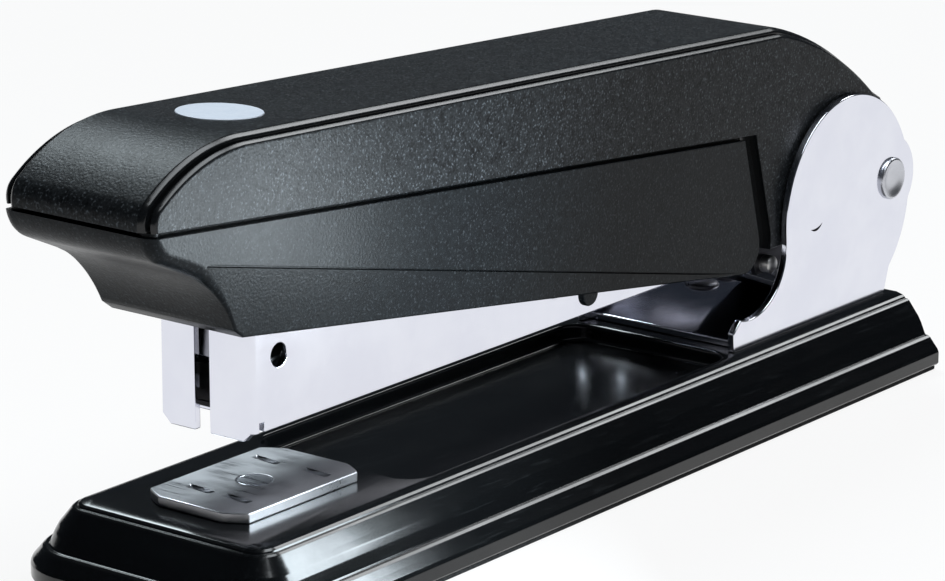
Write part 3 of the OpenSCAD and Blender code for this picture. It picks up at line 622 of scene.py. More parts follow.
def wirePiece(name, path, radius, slot, sides=12):
    piece = newPiece(name, path, [], [(i, i + 1) for i in range(len(path) - 1)])
    runTree(piece, sweptWire, {"Wire Radius": radius * mm, "Sides": sides, "Finish": finishes[slot]})
    tidyMesh(piece)
    shade(piece, limit=60)
    return piece


def fastenerPiece(name, fastener, spots, slot):
    piece = newPiece(name, spots, [])
    runTree(piece, fastenerSet, {"Fastener": fastener, "Finish": finishes[slot]})
    drop(fastener)
    shade(piece)
    return piece


print("node trees made")

# Lines of the handle that both covers share
handle = {"crownZ": 66.72, "topSlope": 3.21, "topBack": 30.4, "noseTop": -5.0, "noseR": 28.0,
          "noseEnd": 127.0, "tipR": 3.9, "bendR": 10.0, "bendEnd": 74.0, "rearR": 70.0, "rearEnd": 48.0,
          "halfWidth": 13.35, "wall": 2.0, "crownWall": 2.2, "seamZ": 54.9, "seamSlope": 5.41, "seamGap": 0.6,
          "panelBack": 39.6, "footLean": 4.6, "footR": 4.0, "footDrop": 3.95, "footTop": 15.0,
          "tongueT": 0.5, "tongueH": 2.0, "tongueRoot": 1.0, "tongueY": -22.0, "tongueEnd": -0.27}


def falling(z, slope, y):
    return z - y * tan(radians(slope))


def topZ(y):
    return falling(handle["crownZ"], handle["topSlope"], y)


def seamZ(y):
    return falling(handle["seamZ"], handle["seamSlope"], y)


topEnd = hinge.x - handle["topBack"]
topNormal = fromAngle(90 - handle["topSlope"])
noseC = Vector((handle["noseTop"], topZ(handle["noseTop"]))) - handle["noseR"] * topNormal
tipC = noseC + (handle["noseR"] - handle["tipR"]) * fromAngle(handle["noseEnd"])
bendC = Vector((topEnd, topZ(topEnd))) - handle["bendR"] * topNormal
rearC = bendC + (handle["bendR"] - handle["rearR"]) * fromAngle(handle["bendEnd"])
noseReach = handle["tipR"] - tipC.x
panelEnd = hinge.x - handle["panelBack"]
footC = Vector((panelEnd + handle["footLean"] - handle["footR"], hinge.y - handle["footDrop"]))
seamFront = seamZ(-noseReach)
halfGap = handle["seamGap"] / 2
inner = handle["halfWidth"] - handle["wall"]


def angleAt(centre, radius, z):
    # Angle on the front side of a circle at which it passes the height z
    return 180 + degrees(asin((centre.y - z) / radius))


handle["tipStart"] = angleAt(tipC, handle["tipR"], seamFront + halfGap)


def crownLine(inset):
    flat = 90 - handle["topSlope"]
    return chain(arc(tipC, handle["tipR"] - inset, handle["tipStart"], handle["noseEnd"], steps=12),
                 arc(noseC, handle["noseR"] - inset, handle["noseEnd"], flat, steps=18),
                 arc(bendC, handle["bendR"] - inset, flat, handle["bendEnd"], steps=6),
                 arc(rearC, handle["rearR"] - inset, handle["bendEnd"], handle["rearEnd"], steps=14))


def setOnCrown(piece, y):
    place(piece, (0, y, topZ(y)), tipped(handle["topSlope"]))


def tonguePiece(grow):
    # Tongue of the lower cover, or the rebate that it snaps into, on both sides
    y0, y1 = handle["tongueY"] - grow, panelEnd - handle["tongueEnd"] + grow
    top = halfGap + handle["tongueH"] + grow
    outline = [Vector((y, seamZ(y) - halfGap - handle["tongueRoot"])) for y in (y0, y1)]
    outline += [Vector((y, seamZ(y) + top)) for y in (y1, y0)]
    strips = bothSides("tongue", outline, inner - grow, inner + handle["tongueT"] + grow)
    join(*strips)
    return strips[0]


# Upper cover: a band along the top, a groove and a rim on each side, as (x, depth below the crown)
topCover = {"tailR": 6.3, "tailArc": (40.0, -58.0), "tailGap": 3.0, "pinRoom": 3.4, "pinSteps": 48,
            "rabbetGap": 0.3, "rabbetT": 0.5, "rabbetLap": 1.0, "rabbetSink": 0.02, "tongueRoom": 0.03,
            "badgeR": 6.05, "badgeY": 3.7, "badgeSeat": 0.4, "seatTop": 4.0,
            "bossR": 3.3, "bossBore": 1.53, "bossDrop": 4.4, "bossEdge": 0.2, "bossTop": -1.0,
            "bossY": (34.0, 22.8),
            "band": [(0, 0), (6, 0), (10.85, 0), (11.05, 0.04), (11.2, 0.11), (11.62, 0.42), (11.76, 0.58),
                     (11.84, 0.8)],
            "groove": [(11.88, 1.5), (11.96, 1.6), (12.36, 1.6), (12.44, 1.5)],
            "rim": [(12.48, 1.02), (12.54, 0.88), (12.66, 0.82), (12.78, 0.86), (13.14, 1.12), (13.28, 1.28),
                    (13.35, 1.55)],
            "edge": 0.16, "edgeShares": (0.0, 0.1, 0.4, 1.0)}
# How far the cutters reach beyond a cover: to the side, to the rear, up and down
beyond = {"side": 20.0, "rear": 20.0, "up": 10.0, "down": 90.0}


def topCoverPiece():
    size = topCover
    skirtZ = hinge.y + size["tailR"] * sin(radians(size["tailArc"][1]))
    footR = handle["footR"] + size["tailGap"]
    skirtA = degrees(asin((skirtZ - footC.y) / footR))
    crown = crownLine(0)
    seamRear = panelEnd + size["tailGap"]
    rest = chain(arc(hinge, size["tailR"], *size["tailArc"], steps=12),
                 arc(footC, footR, skirtA, handle["footTop"], steps=10),
                 [(y, seamZ(y) + halfGap) for y in (seamRear, tipC.x)])
    loop = crown + rest
    n = len(loop)
    section = size["band"] + size["groove"] + size["rim"]
    softFrom = len(section) - len(size["edgeShares"])
    soft = {softFrom + k: size["edge"] * share for k, share in enumerate(size["edgeShares"])}
    columns = [(-1, j) for j in range(len(section) - 1, 0, -1)] + [(1, j) for j in range(len(section))]
    points = []
    for sign, j in columns:
        x, depth = section[j]
        moves = drawIn(loop, [depth if i < len(crown) - 1 else soft.get(j, 0.0) for i in range(n)])
        points += [(sign * x, p.x + d.x, p.y + d.y) for p, d in zip(loop, moves)]
    ends = [list(range(n)), list(range((len(columns) - 1) * n, len(columns) * n))]
    shell = newPiece("topCover", points, ringFaces(len(columns), n) + ends)
    tidyMesh(shell)
    lipC = lowerCover["lipC"]
    rear, low = hinge.x + beyond["rear"], hinge.y - beyond["down"]
    hollow = chain(crownLine(handle["crownWall"]), [(rear, hinge.y + beyond["up"]), (rear, low),
                   (lipC.x, low), lipC])
    step = 360 / size["pinSteps"]
    bore = slabPiece("bore", arc(hinge, size["pinRoom"], 0, 360 - step, size["pinSteps"] - 1),
                     -beyond["side"], beyond["side"])
    seat = turnedPiece("seat", [(size["badgeR"], -size["badgeSeat"]), (size["badgeR"], size["seatTop"])])
    setOnCrown(seat, size["badgeY"])
    carve(shell, slabPiece("hollow", hollow, -inner, inner), bore, seat, tonguePiece(size["tongueRoom"]))
    # Strips that close the gap behind the side panels from inside
    lap, gap = size["rabbetLap"], size["rabbetGap"]
    strip = chain(arc(footC, footR + lap, skirtA, handle["footTop"], steps=8),
                  [(seamRear + lap, seamZ(panelEnd) + lap), (panelEnd + gap, seamZ(panelEnd) + lap)],
                  [footC + (handle["footR"] + gap) * fromAngle(a) for a in (handle["footTop"], skirtA)])
    inside = bothSides("strip", strip, inner - size["rabbetSink"], inner + size["rabbetT"])
    # Bosses that the lever is screwed to
    foot, hole, outer = -size["bossDrop"], size["bossBore"], size["bossR"]
    for y in (size["bossY"][0], topEnd - size["bossY"][1]):
        boss = turnedPiece("boss", [(hole, foot), (outer - size["bossEdge"], foot),
                                    (outer, foot + size["bossEdge"]), (outer, size["bossTop"]),
                                    (hole, size["bossTop"])], steps=32)
        setOnCrown(boss, y)
        inside.append(boss)
    join(shell, *inside)
    shade(shell)
    finishPiece(shell, "handle", "grained_black", "top_cover")


# Lower cover: curled lip, finger hollow, wedge-shaped side panels and a band that leans in to the hem.
# lineRise gives the heights of the rows that form the groove under a panel, from above its line to below it,
# and cutter says how far the hollow's cutter reaches to the rear, and its lowest and highest z.
lowerCover = {"lipR": 5.4, "lipRise": 0.35, "lipEnd": 245.0, "lipRun": 5.8, "lipSteps": 18,
              "hollowR": 18.0, "hollowArc": (65.0, 22.0), "hemY": -5.7, "hemZ": 38.5, "hemSlope": 8.37,
              "hemSteps": 24,
              "panelZ": 48.05, "panelSlope": 12.83, "lean": 5.5, "step": 0.4, "line": 0.6, "fadeIn": 0.8,
              "lineEdge": 0.05, "lineRise": (0.2, 0.09, 0.04, 0.0, -0.22, -0.3),
              "lipEdge": 2.0, "hemEdge": 0.4, "seamEdge": 0.12, "seamStart": 0.4, "rounds": 6,
              "pegR": 1.25, "pegFoot": -0.5, "pegRoom": 0.03, "lugY": 71.3, "lugRise": 0.3, "lugR": 1.9,
              "lugEnd": [(0.0, 0.0), (0.0, 0.75), (0.12, 0.95), (0.4, 1.05)],
              "cutter": (60.0, -50.0, 120.0)}
lowerCover["lipC"] = Vector((lowerCover["lipR"] - noseReach, seamFront + lowerCover["lipRise"]))


def panelZ(y):
    return falling(lowerCover["panelZ"], lowerCover["panelSlope"], y)


def lipArc(inset, drop):
    # Front of the lip, drawn in by inset and started where it meets the seam lowered by drop
    centre, radius, y = lowerCover["lipC"], lowerCover["lipR"] - inset, inset - noseReach
    passes = 4
    for _ in range(passes):
        start = angleAt(centre, radius, seamZ(y) - halfGap - drop)
        y = (centre + radius * fromAngle(start)).x
    return arc(centre, radius, start, lowerCover["lipEnd"], lowerCover["lipSteps"])


def lipLine(inset):
    size = lowerCover
    end = fromAngle(size["lipEnd"])
    hollowC = size["lipC"] + (size["lipR"] + size["hollowR"]) * end + size["lipRun"] * Vector((-end.y, end.x))
    return chain(lipArc(inset, 0),
                 arc(hollowC, size["hollowR"] + inset, *size["hollowArc"], size["lipSteps"]))


def lowerCoverPiece():
    size = lowerCover
    lip = lipLine(0)
    curled = size["lipSteps"] + 1
    hemFront = Vector((size["hemY"], falling(size["hemZ"], size["hemSlope"], size["hemY"])))
    foot = arc(footC, handle["footR"], -90 - size["hemSlope"], handle["footTop"], steps=12)
    hem = [hemFront + (foot[0] - hemFront) * i / size["hemSteps"] for i in range(size["hemSteps"])]
    seamY = lip[0].x + size["lipEdge"] + size["seamStart"]
    seam = [Vector((y, seamZ(y) - halfGap)) for y in (panelEnd, seamY)]
    loop = lip + hem + foot + seam
    n = len(loop)
    lean = tan(radians(size["lean"]))

    def edgeRadius(i):
        if i < len(lip):
            fade = min(1.0, (len(lip) - 1 - i) / (len(lip) - curled - 1))
            return size["hemEdge"] + (size["lipEdge"] - size["hemEdge"]) * fade ** 2
        return size["hemEdge"] if i < len(lip) + len(hem) + len(foot) - 1 else size["seamEdge"]

    radii = [edgeRadius(i) for i in range(n)]
    widest = [max(radii[i - 1], radii[i]) for i in range(n)]
    moves = drawIn(loop, radii)

    def ring(t):
        # The outline drawn in as far as the rounded edge has turned by the angle t
        part = 1 - cos(t)
        return lipArc(size["lipEdge"] * part, size["seamEdge"] * part) + [
            p + d * part for p, d in zip(loop[curled:], moves[curled:])]

    edge = ring(pi / 2)
    start = next(i for i, p in enumerate(edge) if p.y < panelZ(p.x))
    end = len(lip) + len(hem)
    halves, ramps = [], []
    for i in range(n):
        fall = max(0.0, panelZ(edge[i].x) - edge[i].y) if start < i < end else 0.0
        ramps.append(min(1.0, fall / size["fadeIn"]))
        halves.append(handle["halfWidth"] - size["step"] * ramps[i] - lean * fall)
    points = []
    turns = quarterTurns(size["rounds"])
    for sign, t in [(-1, t) for t in turns[::-1]] + [(1, t) for t in turns]:
        points += [(sign * (halves[i] - widest[i] * (1 - sin(t))), q.x, q.y)
                   for i, q in enumerate(ring(t))]
    columns = 2 * len(turns)
    faces = ringFaces(columns, n)
    # Side panel above its line, and the rows of the groove and the small step down to the leaning band
    deep = size["step"] + size["line"]
    inwards = (0.0, size["lineEdge"], deep - size["lineEdge"], deep, deep, size["step"])
    rows = list(zip(inwards, size["lineRise"]))
    for sign, base in ((-1, 0), (1, (columns - 1) * n)):
        band = []
        for i in range(start + 1, end):
            y, low = edge[i].x, edge[i].y
            line = max(panelZ(y), low)
            ids = range(len(points), len(points) + len(rows))
            points += [(sign * (handle["halfWidth"] - inward * ramps[i]), y, max(low, line + rise * ramps[i]))
                       for inward, rise in rows]
            band.append([*ids, base + i])
        first, last = [base + start] * (len(rows) + 1), [base + end] * (len(rows) + 1)
        strips = [first] + band + [last]
        for a, b in zip(strips, strips[1:]):
            faces += [list(dict.fromkeys([a[k], b[k], b[k + 1], a[k + 1]])) for k in range(len(rows))]
        faces.append([base + i for i in range(start + 1)] + [ids[0] for ids in band]
                     + [base + i for i in range(end, n)])
    shell = newPiece("lowerCover", points, [f for f in faces if len(f) > 2])
    tidyMesh(shell)
    rear, low, high = size["cutter"]
    hollow = chain(lipLine(handle["crownWall"]), [(0, low), (panelEnd + rear, low), (panelEnd + rear, high),
                   (size["lipC"].x, high)])
    carve(shell, slabPiece("hollow", hollow, -inner, inner))
    extras = [tonguePiece(0)]
    for s in (1, -1):
        # Pegs that close the seam behind the rounded front corners, and lugs that hang below the hem
        peg = turnedPiece("peg", [(size["pegR"], size["pegFoot"]),
                                  (size["pegR"], handle["seamGap"] - size["pegRoom"])], steps=32)
        pegY = size["lipEdge"] - noseReach
        place(peg, (s * (handle["halfWidth"] - size["lipEdge"]), pegY, seamZ(pegY) - halfGap),
              tipped(handle["seamSlope"]))
        lug = turnedPiece("lug", [(size["lugR"] - inward, out) for inward, out in size["lugEnd"]], steps=32)
        lugZ = falling(size["hemZ"], size["hemSlope"], size["lugY"]) + size["lugRise"]
        place(lug, (s * inner, size["lugY"], lugZ), sideways(s))
        extras += [peg, lug]
    join(shell, *extras)
    shade(shell)
    finishPiece(shell, "handle", "satin_black", "lower_cover")


topCoverPiece()
lowerCoverPiece()

# Plain disc let into the nose, slightly domed; edge gives points as (inward, down) from its top corner
badge = {"r": 6.0, "seat": 0.4, "rise": 0.15,
         "edge": [(0.0, 0.12), (0.04, 0.06), (0.14, 0.02), (3.0, 0.005), (5.6, 0.0)]}
badgeProfile = [(badge["r"] - inward, badge["rise"] - down) for inward, down in badge["edge"]]
disc = turnedPiece("badgeDisc", [(badge["r"], -badge["seat"])] + badgeProfile, steps=72)
setOnCrown(disc, topCover["badgeY"])
shade(disc)
finishPiece(disc, "handle", "badge_grey", "badge_disc")
print("covers made")

# Base: the pressed shoulder runs along both sides and round the front; section holds (inset, z, edge radius)
base = {"halfWidth": 24.25, "front": -16.0, "end": 150.5, "corner": 10.0, "cornerSteps": 12, "deckZ": 11.7,
        "trayHalf": 15.0, "tray": (26.0, 104.0), "trayR": 4.0, "traySteps": 10, "trayDepth": 2.7,
        "rim": 0.7, "rimSteps": 6, "floorRound": 0.7, "floorSteps": 4,
        "section": [(0.25, 0.8, 0), (0, 1.1, 0.25), (0, 2.9, 0.6), (0.25, 3.45, 0.8), (0.95, 4.25, 0.8),
                    (1.7, 5.14, 0.15), (2.1, 5.42, 0.14), (2.55, 5.42, 0.12), (2.75, 5.65, 0.3),
                    (3.45, 7.25, 2.0), (4.05, 8.3, 2.0), (4.7, 9.1, 0.3), (5.9, 10.62, 0.1),
                    (6.22, 10.85, 0.1), (6.63, 10.84, 0.1), (6.76, 11.1, 0.1), (7.12, 11.36, 0.15),
                    (8.35, 11.7, 0)],
        "endEdge": {"width": 0.3, "steps": 3, "above": 60}}


def ringPlan(half, y0, y1, r, out, steps):
    # Rounded rectangle seen from above, grown by out
    right, left, rear, front = half - r, r - half, y1 - r, y0 + r
    points = []
    for cx, cy, a in ((right, rear, 0), (left, rear, 90), (left, front, 180), (right, front, 270)):
        points += arc((cx, cy), r + out, a, a + 90, steps)
    return points


def basePiece():
    size = base
    insets, heights, radii = zip(*size["section"])
    profile = roundOff(list(zip(insets, heights)), radii)
    cx, cy, r = size["halfWidth"] - size["corner"], size["front"] + size["corner"], size["corner"]
    stations = [(Vector((size["halfWidth"], size["end"])), Vector((-1, 0)))]
    for side, a0 in ((1, 0), (-1, -90)):
        for k in range(size["cornerSteps"] + 1):
            d = fromAngle(a0 - 90 * k / size["cornerSteps"])
            stations.append((Vector((side * cx, cy)) + d * r, -d))
    stations.append((Vector((-size["halfWidth"], size["end"])), Vector((1, 0))))
    points, faces = [], []
    for at, inward in stations:
        for inset, z in profile:
            p = at + inward * inset
            points.append((p.x, p.y, z))
    n = len(profile)
    for s in range(len(stations) - 1):
        faces += [[s * n + i, (s + 1) * n + i, (s + 1) * n + i + 1, s * n + i + 1] for i in range(n - 1)]
    faces.append([s * n for s in range(len(stations))])
    faces.append(list(range(n)) + [(len(stations) - 1) * n + i for i in range(n - 1, -1, -1)])
    # Tray: a rounded rim down to a flat floor
    floorZ = size["deckZ"] - size["trayDepth"]
    rimR, footR = size["rim"], size["floorRound"]
    dip = [(rimR * (1 - sin(t)), size["deckZ"] - rimR * (1 - cos(t)))
           for t in quarterTurns(size["rimSteps"])]
    dip += [(-footR * (1 - cos(t)), floorZ + footR * (1 - sin(t)))
            for t in quarterTurns(size["floorSteps"])]
    first = len(points)
    for out, z in dip:
        ring = ringPlan(size["trayHalf"], *size["tray"], size["trayR"], out, size["traySteps"])
        points += [(p.x, p.y, z) for p in ring]
    m = len(ring)
    faces += [[first + i for i in f] for f in ringFaces(len(dip), m)]
    faces.append(list(range(len(points) - m, len(points))))
    piece = newPiece("basePlate", points, faces)
    # Deck: the face between the shoulder's top line and the tray's rim
    bm = openMesh(piece.data)
    bm.verts.ensure_lookup_table()
    shoulder = [bm.verts[s * n + n - 1] for s in range(len(stations))]
    trayRim = [bm.verts[first + i] for i in range(m)]
    rim = []
    for verts in (shoulder, trayRim):
        for a, b in zip(verts, verts[1:] + verts[:1]):
            rim.append(bm.edges.get((a, b)) or bm.edges.new((a, b)))
    bmesh.ops.triangle_fill(bm, use_beauty=True, edges=rim, normal=(0, 0, 1))
    storeMesh(bm, piece.data)
    tidyMesh(piece)
    softenEdges(piece, **size["endEdge"])
    shade(piece)
    finishPiece(piece, "base", "black_lacquer", "base_plate")


basePiece()
print("base made")

# Pieces that keep the CAD shape and get rounded edges: node, name, edge radius, body and slot
cadPieces = [
    ("sole_pad", "solePad", 0.25, "base", "sole_rubber"),
    # The rail and rod block carry painted shade in their near-black rail_steel colour
    ("core_rail", "coreRail", 0.16, "magazine", "rail_steel"),
    ("rod_block", "rodBlock", 0.12, "magazine", "rail_steel"),
    ("hinge_washers", "hingeWashers", 0.15, "magazine", "washer_nylon"),
    ("guide_rod", "guideRod", 0.2, "magazine", "pin_steel"),
    ("pusher", "pusher", 0.2, "pusher", "pusher_plastic"),
    ("lever_frame", "leverFrame", 0.16, "handle", "lever_steel"),
    ("driver_blade", "driverBlade", 0.1, "handle", "blade_steel"),
    ("anvil_plate", "anvilPlate", 0.22, "anvil", "anvil_steel"),
    ("anvil_stem", "anvilStem", 0.25, "anvil", "pin_steel"),
    ("lever_screws", "leverScrews", 0.12, "handle", "screw_steel"),
]
for node, name, width, body, slot in cadPieces:
    finishPiece(bevelledCopy(node, name, width), body, slot, node)

# Bracket: the small crescent in each ear keeps its cut edge
bracket = {"edge": 0.22, "mark": (-21.6, -3.7), "markR": 2.1}


def crescentWidth(e):
    at = Vector((0, hinge.x + bracket["mark"][0] + frontY, hinge.y + bracket["mark"][1])) * mm
    near = all((v.co.yz - at.yz).length < bracket["markR"] * mm for v in e.verts)
    return 0.0 if near else None


finishPiece(bevelledCopy("hinge_bracket", "hingeBracket", bracket["edge"], crescentWidth),
            "base", "nickel", "hinge_bracket")

# Magazine: the folds at its two front corners are rounder than its cut edges
magazine = {"halfWidth": 8.5, "fold": 0.9, "cutEdge": 0.18, "near": 0.01}


def foldWidth(e):
    onCorner = all(abs(abs(v.co.x) - magazine["halfWidth"] * mm) < magazine["near"] * mm
                   and abs(v.co.y - frontY * mm) < magazine["near"] * mm for v in e.verts)
    return magazine["fold"] if onCorner else None


finishPiece(bevelledCopy("magazine_channel", "magazineChannel", magazine["cutEdge"], foldWidth),
            "magazine", "nickel", "magazine_channel")
print("sheet pieces made")

# Rivets set on points by Geometry Nodes; each head is a dome on a shank of (length, radius)
bracketRivet = {"r": 2.8, "height": 0.9, "tipR": 0.15, "shank": (1.2, 1.6), "z": 12.9, "x": (9.0, -9.0),
                "y": (131.0, 138.0)}
leafRivet = {"r": 2.4, "height": 0.8, "tipR": 0.15, "shank": (2.0, 1.4), "z": 13.7, "y": 142.0}
# The rail's rivets are straight; their ends are points of (inward, distance from the end)
railRivet = {"r": 1.5, "y": (28.1, 93.0), "z": (23.6, 25.7), "foot": [(0.15, 0.0), (0.0, 0.12)],
             "top": [(0.0, 0.15), (0.2, 0.02), (1.3, 0.0)]}


def domedRivet(name, size):
    (length, shankR), radius = size["shank"], size["r"]
    dome = [(radius * cos(t), size["height"] * sin(t)) for t in quarterTurns(steps=7)[1:-1]]
    dome.append((size["tipR"], size["height"]))
    return turnedPiece(name, [(shankR, -length), (shankR, 0), (radius, 0)] + dome, steps=32)


def straightRivet(name, size):
    low, high = size["z"]
    return turnedPiece(name, [(size["r"] - inward, low + up) for inward, up in size["foot"]]
                       + [(size["r"] - inward, high - down) for inward, down in size["top"]], steps=32)


bracketSpots = [(x, y, bracketRivet["z"]) for x in bracketRivet["x"] for y in bracketRivet["y"]]
rivetSets = [
    ("bracketRivets", domedRivet("bracketRivet", bracketRivet), bracketSpots, "base", "bracket_rivets"),
    ("liftSpringRivet", domedRivet("leafRivet", leafRivet), [(0, leafRivet["y"], leafRivet["z"])], "base",
     "lift_spring_rivet"),
    ("railRivets", straightRivet("railRivet", railRivet), [(0, y, 0) for y in railRivet["y"]], "magazine",
     "rail_rivets"),
]
for name, rivet, spots, body, node in rivetSets:
    finishPiece(fastenerPiece(name, rivet, spots, "rivet_steel"), body, "rivet_steel", node)
driverEdge = 0.2
driverRivets = bevelledCopy("driver_rivets", "driverRivets", driverEdge)
finishPiece(driverRivets, "handle", "rivet_steel", "driver_rivets")

# Hinge pin with dished heads; end gives points as (radius, distance beyond the ears)
pin = {"half": 15.0, "end": [(3.0, -0.3), (3.4, 0.0), (3.4, 0.35), (3.28, 0.55), (3.05, 0.65), (2.65, 0.56),
                             (2.1, 0.26), (1.0, 0.16), (0.1, 0.14)]}
pinEnd = [(r, pin["half"] + out) for r, out in pin["end"]]
hingePin = turnedPiece("hingePin", [(r, -z) for r, z in pinEnd[::-1]] + pinEnd, steps=64)
place(hingePin, (0, hinge.x, hinge.y), sideways(1))
shade(hingePin)
finishPiece(hingePin, "base", "pin_steel", "hinge_pin")

# Bright studs of the lever, with domed ends
stud = {"back": 29.7, "down": 8.5, "r": 1.4, "neckR": 1.0, "neck": 1.0, "from": 9.6, "to": 12.6, "dome": 0.6}
studProfile = [(stud["neckR"], stud["from"]), (stud["neckR"], stud["from"] + stud["neck"]),
               (stud["r"], stud["from"] + stud["neck"])]
for t in quarterTurns(steps=10)[:-1]:
    studProfile.append((stud["r"] * cos(t), stud["to"] - stud["dome"] * (1 - sin(t))))
studs = [turnedPiece("leverStuds", studProfile, steps=40) for s in (1, -1)]
for one, s in zip(studs, (1, -1)):
    place(one, (0, hinge.x - stud["back"], hinge.y - stud["down"]), sideways(s))
join(*studs)
shade(studs[0])
finishPiece(studs[0], "handle", "nickel", "lever_studs", finish="stud_nickel")
print("fasteners made")

# Springs: three coils as swept wire, and the leaf under the magazine
pushCoil = {"r": 1.85, "wire": 0.3, "turns": 44, "perTurn": 20, "along": (17.0, 113.4), "z": 28.3,
            "closed": 0.45}
anvilCoil = {"r": 3.7, "wire": 0.4, "turns": 4, "perTurn": 32, "along": (3.9, 9.7), "y": 9.65, "closed": 0.5}
handleCoil = {"r": 4.7, "wire": 0.6, "turns": 4, "perTurn": 32, "halfX": 3.6, "start": -90.0, "end": 60.0,
              "legY": 25.0, "floorZ": 25.6, "legTop": 21.5}


def coilPoints(coil):
    # Two offsets across the coil and a place along it; the curls lie closer together at both ends
    count = coil["turns"] * coil["perTurn"]
    start, end = coil["along"]
    for i in range(count + 1):
        turn = 2 * pi * i / coil["perTurn"]
        f = i / count
        f -= coil["closed"] * sin(2 * pi * f) / (2 * pi)
        yield coil["r"] * cos(turn), coil["r"] * sin(turn), start + f * (end - start)


pushPath = [(x, y, pushCoil["z"] + z) for x, z, y in coilPoints(pushCoil)]
pusherSpring = wirePiece("pusherSpring", pushPath, pushCoil["wire"], "spring_steel", sides=8)
finishPiece(pusherSpring, "magazine", "spring_steel", "pusher_spring")
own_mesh(pusherSpring)

anvilPath = [(x, anvilCoil["y"] + y, z) for x, y, z in coilPoints(anvilCoil)]
anvilSpring = wirePiece("anvilSpring", anvilPath, anvilCoil["wire"], "spring_steel")
finishPiece(anvilSpring, "base", "spring_steel", "anvil_spring")

sweep = 360 * handleCoil["turns"] + handleCoil["end"] - handleCoil["start"]
steps = int(sweep * handleCoil["perTurn"] / 360)
handlePath = [(-handleCoil["halfX"], hinge.x - handleCoil["legY"], handleCoil["floorZ"])]
for i in range(steps + 1):
    d = fromAngle(handleCoil["start"] + sweep * i / steps)
    x = handleCoil["halfX"] * (2 * i / steps - 1)
    handlePath.append((x, hinge.x + handleCoil["r"] * d.x, hinge.y + handleCoil["r"] * d.y))
legDir = fromAngle(handleCoil["end"] + 90)
handlePath.append((handleCoil["halfX"], handlePath[-1][1] + handleCoil["legTop"] * legDir.x,
                   handlePath[-1][2] + handleCoil["legTop"] * legDir.y))
handleSpring = wirePiece("handleSpring", handlePath, handleCoil["wire"], "spring_steel")
finishPiece(handleSpring, None, "spring_steel", "handle_spring")
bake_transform(handleSpring)

leaf = {"half": 5.0, "t": 0.8, "foot": (136.0, 147.0), "tip": 109.0, "floorZ": 12.9, "topZ": 23.4,
        "keep": 0.74, "crest": (4.5, 0.75), "tipDrop": 0.05, "radii": (0, 7, 6, 0), "bendSteps": 8,
        "edge": {"width": 0.12, "steps": 2, "above": 50}}
footTop = leaf["floorZ"] + leaf["t"]
leafLine = roundOff([(leaf["foot"][1], footTop), (leaf["foot"][0], footTop),
                     (leaf["tip"] + leaf["crest"][0], leaf["topZ"] - leaf["crest"][1]),
                     (leaf["tip"], leaf["topZ"] - leaf["tipDrop"])], leaf["radii"], leaf["bendSteps"])
under = []
for i, p in enumerate(leafLine):
    along = (leafLine[min(i + 1, len(leafLine) - 1)] - leafLine[max(i - 1, 0)]).normalized()
    under.append(p + leaf["t"] * Vector((-along.y, along.x)))
liftSpring = slabPiece("liftSpring", leafLine + under[::-1], -leaf["half"], leaf["half"])
softenEdges(liftSpring, **leaf["edge"])
tidyMesh(liftSpring)
shade(liftSpring)
finishPiece(liftSpring, "base", "blued_steel", "lift_spring")
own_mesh(liftSpring)
print("springs made")

# Pale floor and soft studio light. The floor's half width is in metres.
studio = {"floor": 12.0, "drop": 0.05, "floorTone": (0.9, 0.9, 0.905), "floorRough": 0.9, "white": 0.88,
          "sky": (0.022, 0.026, 0.032)}
suns = [{"name": "rearLight", "from": (0.08, 0.76, 0.65), "strength": 0.6, "width": 18.0,
         "colour": (0.95, 0.98, 1.0)},
        {"name": "noseLight", "from": (-0.59, 0.34, 0.73), "strength": 1.9, "width": 25.0,
         "colour": (0.84, 0.95, 1.0)}]
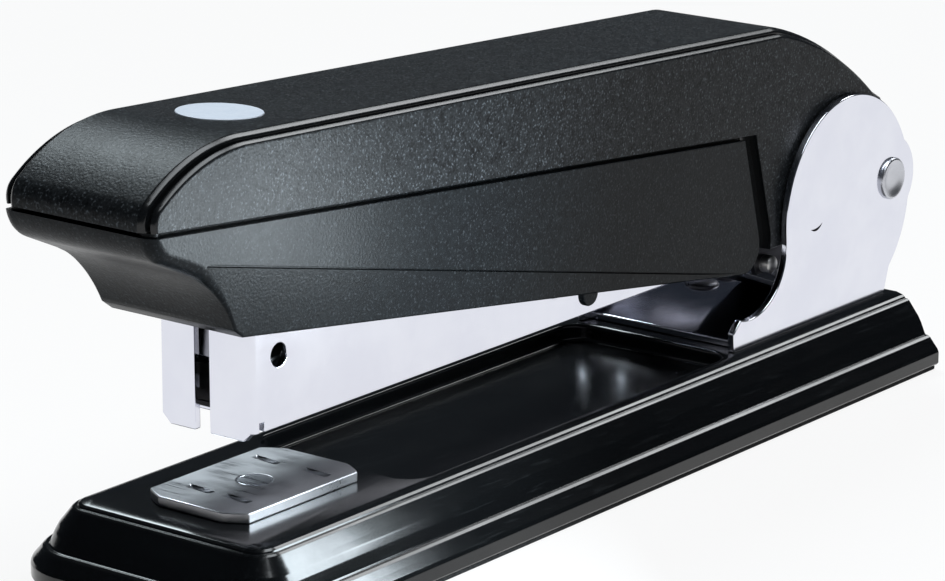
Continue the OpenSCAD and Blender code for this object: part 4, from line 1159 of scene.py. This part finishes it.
# Soft boxes: where they stand and what they face, width and height in millimetres, and radiance
boxes = [{"name": "sideBox", "at": (62.0, 38.0, 40.0), "facing": (13.0, -18.0, 52.0), "size": (40.0, 30.0),
          "radiance": 21.0, "colour": (0.82, 0.93, 1.0)},
         {"name": "edgeBox", "at": (152.0, 77.0, 424.0), "facing": (12.0, -15.0, 62.0),
          "size": (380.0, 120.0), "radiance": 6.8, "colour": (0.9, 0.96, 1.0)}]
floorMesh = bpy.data.meshes.new("floor")
half, low = studio["floor"], -studio["drop"] * mm
floorMesh.from_pydata([(-half, -half, low), (half, -half, low), (half, half, low), (-half, half, low)], [],
                      [[0, 1, 2, 3]])
floor = addObject("floor", floorMesh)
floorFinish, floorTree, floorSurface = newFinish("paleFloor", Roughness=studio["floorRough"],
                                                 **{"Specular IOR Level": 0.0})
floorSurface.inputs["Base Color"].default_value = (*studio["floorTone"], 1)
# Seen by the camera, in metal or through glass, the floor is mixed with white, and keeps a soft shadow
rays = floorTree.nodes.new("ShaderNodeLightPath").outputs
seen = combine(floorTree, "ADD", rays["Is Camera Ray"], rays["Is Glossy Ray"])
seen = combine(floorTree, "ADD", seen, rays["Is Transmission Ray"], use_clamp=True)
share = combine(floorTree, "MULTIPLY", seen, studio["white"])
white = addNode(floorTree, "ShaderNodeEmission", {"Color": (1, 1, 1, 1), "Strength": 1.0})
mixed = addNode(floorTree, "ShaderNodeMixShader", {0: share, 1: floorSurface.outputs[0], 2: white.outputs[0]})
floorTree.links.new(mixed.outputs[0], floorTree.nodes["Material Output"].inputs["Surface"])
floorMesh.materials.append(floorFinish)

world = bpy.data.worlds.new("studio")
world.use_nodes = True
world.node_tree.nodes["Background"].inputs["Color"].default_value = (*studio["sky"], 1)
scene.world = world


def addLamp(data, colour, towards, at=(0, 0, 0)):
    data.color = colour
    lamp = addObject(data.name, data)
    lamp.rotation_mode = "QUATERNION"
    lamp.rotation_quaternion = Vector(towards).to_track_quat("Z", "Y")
    lamp.location = at
    lamp.visible_camera = False


for sun in suns:
    data = bpy.data.lights.new(sun["name"], "SUN")
    data.energy = sun["strength"]
    data.angle = radians(sun["width"])
    addLamp(data, sun["colour"], sun["from"])
for box in boxes:
    data = bpy.data.lights.new(box["name"], "AREA")
    data.shape = "RECTANGLE"
    data.size, data.size_y = (side * mm for side in box["size"])
    data.energy = box["radiance"] * pi * data.size * data.size_y
    start, end = inFrame(box["at"]), inFrame(box["facing"])
    addLamp(data, box["colour"], start - end, start)
print("studio set")
